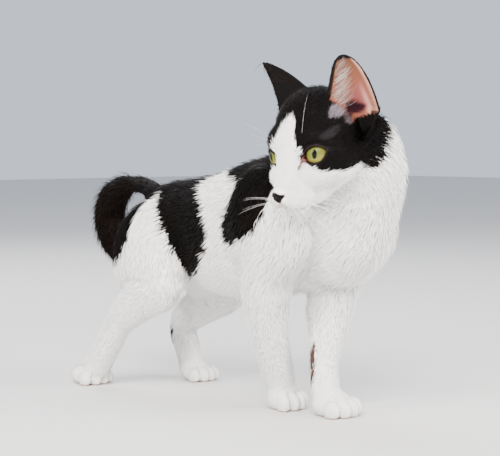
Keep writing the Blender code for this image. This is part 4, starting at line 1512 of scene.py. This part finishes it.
def makeToneGroup():
    # fine streaks and blotches over a colour
    group = bpy.data.node_groups.new("hairTone", "ShaderNodeTree")
    group.interface.new_socket("Colour", in_out="INPUT", socket_type="NodeSocketColor")
    for name, value in (("Streak", 260.0), ("Strength", 0.3)):
        socket = group.interface.new_socket(name, in_out="INPUT", socket_type="NodeSocketFloat")
        socket.default_value = value
    group.interface.new_socket("Colour", in_out="OUTPUT", socket_type="NodeSocketColor")
    group.interface.new_socket("Height", in_out="OUTPUT", socket_type="NodeSocketFloat")
    given = addNode(group, "NodeGroupInput", (-800, 0))
    result = addNode(group, "NodeGroupOutput", (600, 0))
    place = addNode(group, "ShaderNodeTexCoord", (-800, -300))
    noise = addNode(group, "ShaderNodeTexNoise", (-500, -200))
    noise.inputs["Detail"].default_value = 4
    group.links.new(place.outputs["Object"], noise.inputs["Vector"])
    group.links.new(given.outputs["Streak"], noise.inputs["Scale"])
    centred = addNode(group, "ShaderNodeMath", (-300, -200), operation="SUBTRACT")
    centred.inputs[1].default_value = 0.5
    group.links.new(noise.outputs["Fac"], centred.inputs[0])
    scaled = addNode(group, "ShaderNodeMath", (-150, -200), operation="MULTIPLY_ADD")
    scaled.inputs[2].default_value = 1.0
    group.links.new(centred.outputs[0], scaled.inputs[0])
    group.links.new(given.outputs["Strength"], scaled.inputs[1])
    mixed = addNode(group, "ShaderNodeVectorMath", (100, 0), operation="SCALE")
    group.links.new(given.outputs["Colour"], mixed.inputs[0])
    group.links.new(scaled.outputs[0], mixed.inputs["Scale"])
    group.links.new(mixed.outputs[0], result.inputs["Colour"])
    group.links.new(noise.outputs["Fac"], result.inputs["Height"])
    return group


toneGroup = makeToneGroup()


# bump and streak are the relief and the fineness of the tone's noise, and strength is its contrast
furLooks = {
    "whiteCoat": {"colour": "coatColour", "roughness": 0.62, "sheen": 0.15, "tint": (1.0, 0.98, 0.95),
                  "streak": 300, "strength": 0.14, "bump": 0.0, "gloss": 0.3},
    "blackCoat": {"colour": "coatColour", "roughness": 0.45, "sheen": 0.0, "tint": (0.75, 0.6, 0.5),
                  "streak": 300, "strength": 0.5, "bump": 0.0, "gloss": 0.045},
    "skin": {"colour": "skinColour", "roughness": 0.5, "sheen": 0.0, "tint": (1.0, 0.9, 0.85),
             "streak": 700, "strength": 0.3, "bump": 0.5, "gloss": 0.06},
    "whisker": {"colour": "coatColour", "roughness": 0.35, "sheen": 0.0, "tint": (1.0, 1.0, 1.0),
                "streak": 300, "strength": 0.1, "bump": 0.0, "gloss": 0.3},
}


def furMaterial(name):
    looks = furLooks[name]
    material = bpy.data.materials.new(name)
    material.use_nodes = True
    tree = material.node_tree
    shader = tree.nodes["Principled BSDF"]
    colour = addNode(tree, "ShaderNodeAttribute", (-700, 200), attribute_name=looks["colour"])
    tone = addNode(tree, "ShaderNodeGroup", (-400, 200), node_tree=toneGroup)
    tone.inputs["Streak"].default_value = looks["streak"]
    tone.inputs["Strength"].default_value = looks["strength"]
    tree.links.new(colour.outputs["Color"], tone.inputs["Colour"])
    tree.links.new(tone.outputs["Colour"], shader.inputs["Base Color"])
    shader.inputs["Roughness"].default_value = looks["roughness"]
    shader.inputs["Specular IOR Level"].default_value = looks["gloss"]
    shader.inputs["Sheen Weight"].default_value = looks["sheen"]
    shader.inputs["Sheen Roughness"].default_value = 0.4
    shader.inputs["Sheen Tint"].default_value = (*looks["tint"], 1)
    if looks["bump"]:
        relief = addNode(tree, "ShaderNodeBump", (-200, -200))
        relief.inputs["Strength"].default_value = looks["bump"]
        relief.inputs["Distance"].default_value = 0.0006
        tree.links.new(tone.outputs["Height"], relief.inputs["Height"])
        tree.links.new(relief.outputs["Normal"], shader.inputs["Normal"])
    return material


whiteCoat = furMaterial("whiteCoat")
blackCoat = furMaterial("blackCoat")
skinMaterial = furMaterial("skin")


# ---- colours of the skin

skinColours = {
    "underWhite": (0.88, 0.85, 0.82),
    "underBlack": (0.006, 0.005, 0.005),
    "earInside": (0.24, 0.085, 0.05),
    "earTip": (0.17, 0.066, 0.036),
    "earFold": (0.26, 0.075, 0.07),
    "earHollowShade": (0.022, 0.006, 0.010),
    "earPaleHighlight": (0.60, 0.30, 0.24),
    "nose": (0.004, 0.003, 0.003),
    "noseEdge": (0.42, 0.22, 0.21),
    "lip": (0.52, 0.28, 0.24),
    "lipLine": (0.16, 0.06, 0.05),
    "lid": (0.008, 0.005, 0.005),
    "corner": (0.045, 0.012, 0.012),
    "tear": (0.24, 0.10, 0.085),
    "toeGrooveShade": (0.50, 0.40, 0.36),
    "pad": (0.56, 0.33, 0.31),
}


def paint(colours, name, share):
    share = share[:, None]
    return colours * (1 - share) + np.array(skinColours[name]) * share


def paintSkin():
    points = pointsOf(skin.data) - standShift
    head = toHead(points) / mm
    colours = np.tile(np.array(skinColours["underWhite"]), (len(points), 1))
    colours = paint(colours, "underBlack", ramp(-darkDistance(points), -1.2, 1.2))
    _, inCup, spots, _ = earParts(head)
    cup = inCup.astype(float)
    u, v = spots.T
    colours = paint(colours, "earInside", cup)
    ripple = 0.16 * wander(head, 5, 51)
    fold = np.hypot((u - 0.12) / 0.42, (v - 0.25 - 0.25 * u) / 0.42) + ripple
    deep = np.hypot((u + 0.02) / 0.15, (v - 0.12) / 0.30) + ripple
    colours = paint(colours, "earTip", cup * ramp(u, 0.35, 0.85))
    colours = paint(colours, "earFold", cup * ramp(-fold, -1.05, -0.3))
    # pale pink skin along the ear's inner fold, brightened as a painted highlight
    ridgeHighlight = np.exp(-((v - 0.52 + 0.2 * u) / 0.08) ** 2) * ramp(-u, -0.5, -0.1)
    colours = paint(colours, "earPaleHighlight", 0.8 * cup * ridgeHighlight)
    # painted shade down in the ear's hollow
    colours = paint(colours, "earHollowShade", cup * ramp(-deep, -1.15, -0.6))
    # the back edge of the cup in the same pale pink, brightened as a painted highlight
    colours = paint(colours, "earPaleHighlight", cup * ramp(v, 0.62, 0.9))
    colours = paint(colours, "underBlack", cup * ramp(-v, 0.68, 0.78) * ramp(u, 0.05, 0.3))
    colours = paint(colours, "underBlack", cup * ramp(u, 0.87, 0.93))
    nose = noseMask(head)
    colours = paint(colours, "noseEdge", 0.5 * ramp(-nose, -1.2, -0.2) * (head[:, 1] < -26))
    colours = paint(colours, "nose", ramp(-nose, -0.3, 0.3))
    colours = paint(colours, "lip", 0.8 * ramp(-mouthDistance(head), -1.7, -0.7))
    colours = paint(colours, "lipLine", ramp(-mouthDistance(head), -0.8, -0.3))
    for side in (1, -1):
        local = inEye(head, side)
        front = (local[:, 2] > 0) & (np.hypot(local[:, 0], local[:, 1]) < 17)
        edge = lidDistance(local)
        # the lids' own dark rims, widened along the upper lid by painted shade
        upperLidShade = ramp(local[:, 1], -5, 1)
        reach = 1.5 + 1.5 * upperLidShade
        colours = paint(colours, "lid", ramp(reach - edge, 0, 1.0) * front)
        corner = np.hypot(local[:, 0] + eyePlan["halfWidth"] - 0.6, local[:, 1] + 1.0)
        colours = paint(colours, "corner", ramp(-corner, -4.2, -2.2) * front)
        tear = lineDistance(head, tearLine * np.array([side, 1, 1]))
        colours = paint(colours, "tear", ramp(-tear, -2.6, -0.9))
    # painted shade in the grooves between the toes
    colours = paint(colours, "toeGrooveShade", ramp(-toeGroove(points), -1.6, -0.5))
    colours = paint(colours, "pad", ramp(-points[:, 2] / mm, -1.8, -0.9))
    addColours(skin.data, "skinColour", colours)
    skin.data.materials.clear()
    skin.data.materials.append(skinMaterial)


paintSkin()
print("skin painted")
coat = makeCoat({"White": whiteCoat, "Black": blackCoat})
for piece, slot in coat:
    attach(piece, "root")
print("coat laid")


# ---- whiskers, brow hairs and the long hairs in the ears

whiskerPlan = {
    "width": 0.34,      # mm at the root
    "browWidth": 0.09,
    "farWidth": 0.15,
    "nearHairs": 4,     # in a row
    "farHairs": 2,
    "colour": (0.97, 0.97, 0.96),
    # side, rows of the pad (height), directions along the head's axes, and lengths in mm
    "rows": [
        (1, -20.5, (0.82, 0.42, -0.30), 42),
        (1, -23.5, (0.72, 0.26, -0.58), 42),
        (1, -26.5, (0.46, 0.06, -0.84), 35),
        (-1, -20.5, (-0.90, 0.02, 0.26), 34),
        (-1, -23.5, (-0.92, -0.02, 0.02), 34),
        (-1, -26.5, (-0.84, -0.02, -0.42), 32),
    ],
    # root, direction and length of the hairs over the eyes
    "brows": [
        ((13, -6, 18), (0.30, 0.16, 0.95), 37),
        ((-17, -4, 16), (-0.74, -0.12, 0.62), 34),
        ((-18, -4, 14), (-0.88, -0.05, 0.42), 21),
        ((-18, -5, 12), (-0.95, -0.05, 0.12), 21),
    ],
}
earHairPlan = {
    "count": 210,
    "width": 0.17,
    "farLength": 0.5,   # of the hairs of the far ear, beside the near ear's
    "colour": (0.90, 0.86, 0.82),
    "dusk": (0.46, 0.36, 0.34),
}


def makeHairs(name, roots, directions, sags, lengths, widths, colours, material, steps=9):
    # closed three-sided hairs that taper to a point; everything in mm along the head's axes
    count = len(roots)
    t = np.linspace(0, 1, steps + 1)
    line = roots[:, None, :] + (directions[:, None, :] * t[None, :, None]
                                + sags[:, None, :] * (t ** 2)[None, :, None]) * lengths[:, None, None]
    along = unit(np.gradient(line, axis=1))
    across = unit(np.cross(along, np.array([0.3, 0.2, 0.93])))
    upward = np.cross(across, along)
    girth = (widths[:, None] / 2) * (1 - 0.75 * t[None, :-1])
    rings = []
    for angle in (math.pi / 2, math.pi * 7 / 6, math.pi * 11 / 6):
        offset = across[:, :-1] * math.cos(angle) + upward[:, :-1] * math.sin(angle)
        rings.append(line[:, :-1] + offset * girth[:, :, None])
    body = np.stack(rings, axis=2).reshape(count, -1, 3)
    points = np.concatenate([body, line[:, -1:, :]], axis=1)
    faces = [(0, 1, 2)]
    for i in range(steps - 1):
        for j in range(3):
            a, b = 3 * i + j, 3 * i + (j + 1) % 3
            faces += [(a, a + 3, b + 3), (a, b + 3, b)]
    last = 3 * (steps - 1)
    for j in range(3):
        faces.append((last + j, 3 * steps, last + (j + 1) % 3))
    size = 3 * steps + 1
    faces = (np.array(faces)[None] + size * np.arange(count)[:, None, None]).reshape(-1, 3)
    mesh = meshFromArrays(name, fromHead(points.reshape(-1, 3)) + standShift, faces)
    bm = bmesh.new()
    bm.from_mesh(mesh)
    bmesh.ops.recalc_face_normals(bm, faces=bm.faces)
    bm.to_mesh(mesh)
    bm.free()
    mesh.shade_smooth()
    columns = math.ceil(math.sqrt(count))
    cell = np.column_stack([np.arange(count) % columns, np.arange(count) // columns]) / columns
    patch = np.zeros((size, 2))
    patch[:, 0] = np.tile([0, 1, 0.5], steps + 1)[:size] * 0.003
    patch[:, 1] = np.append(np.repeat(t[:-1], 3), 1) * 0.003
    addBakeMap(mesh, (cell[:, None, :] * 0.98 + 0.005 + patch[None]).reshape(-1, 2))
    addColours(mesh, "coatColour", np.repeat(colours, size, axis=0))
    mesh.materials.append(material)
    return objectFrom(name, mesh)


def onSkin(headPoints):
    # the nearest place on the skin, along the head's axes
    points = toSurface(fromHead(headPoints), skinField, 5)
    return toHead(points) / mm


def makeWhiskers(material):
    roots, directions, lengths = [], [], []
    for side, height, direction, length in whiskerPlan["rows"]:
        for i in range(whiskerPlan["nearHairs"] if side > 0 else whiskerPlan["farHairs"]):
            roots.append((side * (10.5 + 2.3 * i), -34.0 + 3.4 * i, height - 0.3 * i))
            turned = np.array(direction) + np.array([0.0, 0.07 * (i - 1.5), 0.05 * (i - 1.5)])
            directions.append(turned + 0.03 * dice.normal(size=3))
            lengths.append(length * (1 - 0.13 * i) * dice.uniform(0.9, 1.05))
    for root, direction, length in whiskerPlan["brows"]:
        roots.append(root)
        directions.append(direction)
        lengths.append(length)
    count = len(roots)
    directions = unit(np.array(directions))
    sags = np.tile([0.0, 0.06, -0.16], (count, 1)) + 0.03 * dice.normal(size=(count, 3))
    roots = onSkin(np.array(roots, float)) - directions * 0.6
    colours = np.tile(whiskerPlan["colour"], (count, 1))
    widths = np.full(count, whiskerPlan["width"])
    widths[roots[:, 0] < 0] = whiskerPlan["farWidth"]
    widths[-len(whiskerPlan["brows"]):] = whiskerPlan["browWidth"]
    return makeHairs("whiskers", roots, directions, sags, np.array(lengths), widths, colours, material)


def makeEarHairs(material):
    made = []
    for name, plan in earPlans.items():
        rise, opening, across = earAxes(plan)
        count = earHairPlan["count"]
        u = dice.uniform(-0.05, 0.84, count)
        v = -0.72 + 0.55 * dice.random(count)
        roots = earPoint(plan, u, v)
        towards = across * 0.9 + rise * 0.30 + opening * 0.30
        spread = dice.normal(size=(count, 3)) * 0.12
        directions = unit(towards + spread + rise * (0.5 * (u - 0.3))[:, None])
        sags = np.tile(rise * 0.35 - opening * 0.16, (count, 1))
        share = 1.0 if plan["side"] > 0 else earHairPlan["farLength"]
        lengths = dice.uniform(9, 16, count) * (1.05 - 0.55 * u) * share
        pale = dice.random(count)[:, None] * ramp(-u, -0.8, -0.5)[:, None]
        colours = np.array(earHairPlan["dusk"]) * (1 - pale) + np.array(earHairPlan["colour"]) * pale
        widths = np.full(count, earHairPlan["width"])
        label = "earHairs" + name.capitalize()
        made.append(makeHairs(label, roots, directions, sags, lengths, widths, colours, material, 6))
    return made


whiskerMaterial = furMaterial("whisker")
longHairs = [makeWhiskers(whiskerMaterial)] + makeEarHairs(whiteCoat)
for piece in longHairs:
    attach(piece, "root")
print("whiskers and ear hairs made")


# ---- the eyes' colours

eyeColours = {
    # the iris's upper tone is darkened as painted shade of the lid
    "irisShaded": (0.11, 0.115, 0.018),
    "irisInner": (0.10, 0.13, 0.02),
    "irisLow": (0.27, 0.25, 0.05),
    "rim": (0.020, 0.016, 0.008),
    "pupil": (0.001, 0.001, 0.0015),
    "ballWhite": (0.42, 0.36, 0.32),
}
# sizes on the eyeball, whose radius is 1
irisPlan = {
    "rays": 9.0,            # how finely the fibres change around the iris and outwards
    "rings": 2.0,
    "fineness": 3.0,
    "lean": 11,             # degrees that the slit leans
    "slitWidth": 0.19,      # half width and half height
    "slitHeight": 0.34,
    "rim": (0.80, 0.90),    # where the iris turns into its dark rim, and the rim into the ball
    "ball": (0.93, 0.98),
}


def eyeMaterial():
    # reads the place on the eyeball: across, up and out, with 1 at its surface
    material = bpy.data.materials.new("eye")
    material.use_nodes = True
    tree = material.node_tree
    shader = tree.nodes["Principled BSDF"]
    spot = addNode(tree, "ShaderNodeAttribute", (-1600, 0), attribute_name="eyeSpot")
    parts = addNode(tree, "ShaderNodeSeparateXYZ", (-1400, 0))
    tree.links.new(spot.outputs["Vector"], parts.inputs[0])

    def maths(operation, first, second=None, clamp=False):
        node = addNode(tree, "ShaderNodeMath", operation=operation, use_clamp=clamp)
        for socket, value in zip(node.inputs, (first, second)):
            if value is None:
                continue
            if isinstance(value, (int, float)):
                socket.default_value = value
            else:
                tree.links.new(value, socket)
        return node.outputs[0]

    def span(value, low, high, newLow=0.0, newHigh=1.0):
        node = addNode(tree, "ShaderNodeMapRange", interpolation_type="SMOOTHSTEP")
        tree.links.new(value, node.inputs["Value"])
        for key, number in (("From Min", low), ("From Max", high), ("To Min", newLow), ("To Max", newHigh)):
            node.inputs[key].default_value = number
        return node.outputs["Result"]

    def mixed(share, first, second):
        node = addNode(tree, "ShaderNodeMix", data_type="RGBA")
        tree.links.new(share, node.inputs["Factor"])
        for key, value in ((6, first), (7, second)):
            if isinstance(value, str):
                node.inputs[key].default_value = (*eyeColours[value], 1)
            else:
                tree.links.new(value, node.inputs[key])
        return node.outputs[2]

    def length(first, second):
        squares = maths("ADD", maths("MULTIPLY", first, first), maths("MULTIPLY", second, second))
        return maths("SQRT", squares)

    x, y = parts.outputs[0], parts.outputs[1]
    radius = length(x, y)
    angle = maths("ARCTAN2", y, x)
    ray = addNode(tree, "ShaderNodeCombineXYZ")
    tree.links.new(maths("MULTIPLY", angle, irisPlan["rays"]), ray.inputs[0])
    tree.links.new(maths("MULTIPLY", radius, irisPlan["rings"]), ray.inputs[1])
    fibres = addNode(tree, "ShaderNodeTexNoise")
    fibres.inputs["Scale"].default_value = irisPlan["fineness"]
    fibres.inputs["Detail"].default_value = 5
    tree.links.new(ray.outputs[0], fibres.inputs["Vector"])
    # painted shade of the upper lid: the iris darker at its top and lighter below
    low = span(y, 0.05, -0.6)
    irisShaded = mixed(low, "irisShaded", "irisLow")
    irisShaded = mixed(span(radius, 0.5, 0.2, 0, 0.8), irisShaded, "irisInner")
    streaks = addNode(tree, "ShaderNodeVectorMath", operation="SCALE")
    tree.links.new(irisShaded, streaks.inputs[0])
    tree.links.new(span(fibres.outputs["Fac"], 0.3, 0.7, 0.72, 1.2), streaks.inputs["Scale"])
    leaning = maths("MULTIPLY", y, math.tan(math.radians(irisPlan["lean"])))
    slitX = maths("MULTIPLY", maths("SUBTRACT", x, leaning), 1 / irisPlan["slitWidth"])
    slitY = maths("MULTIPLY", y, 1 / irisPlan["slitHeight"])
    slit = length(slitX, slitY)
    whole = mixed(span(slit, 1.06, 0.94), streaks.outputs[0], "pupil")
    whole = mixed(span(radius, *irisPlan["rim"]), whole, "rim")
    whole = mixed(span(radius, *irisPlan["ball"]), whole, "ballWhite")
    tree.links.new(whole, shader.inputs["Base Color"])
    shader.inputs["Roughness"].default_value = 0.3
    shader.inputs["Specular IOR Level"].default_value = 0.04
    shader.inputs["Coat Weight"].default_value = 0.2
    shader.inputs["Coat Roughness"].default_value = 0.03
    return material


eyeFinish = eyeMaterial()
for eye in eyes:
    eye.data.materials.append(eyeFinish)
print("eyes painted")

flesh = [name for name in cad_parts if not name.startswith("eye")]
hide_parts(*flesh)
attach(skin, "root")
for eye, node in zip(eyes, ("eye_left", "eye_right")):
    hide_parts(node)
    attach(eye, "root")
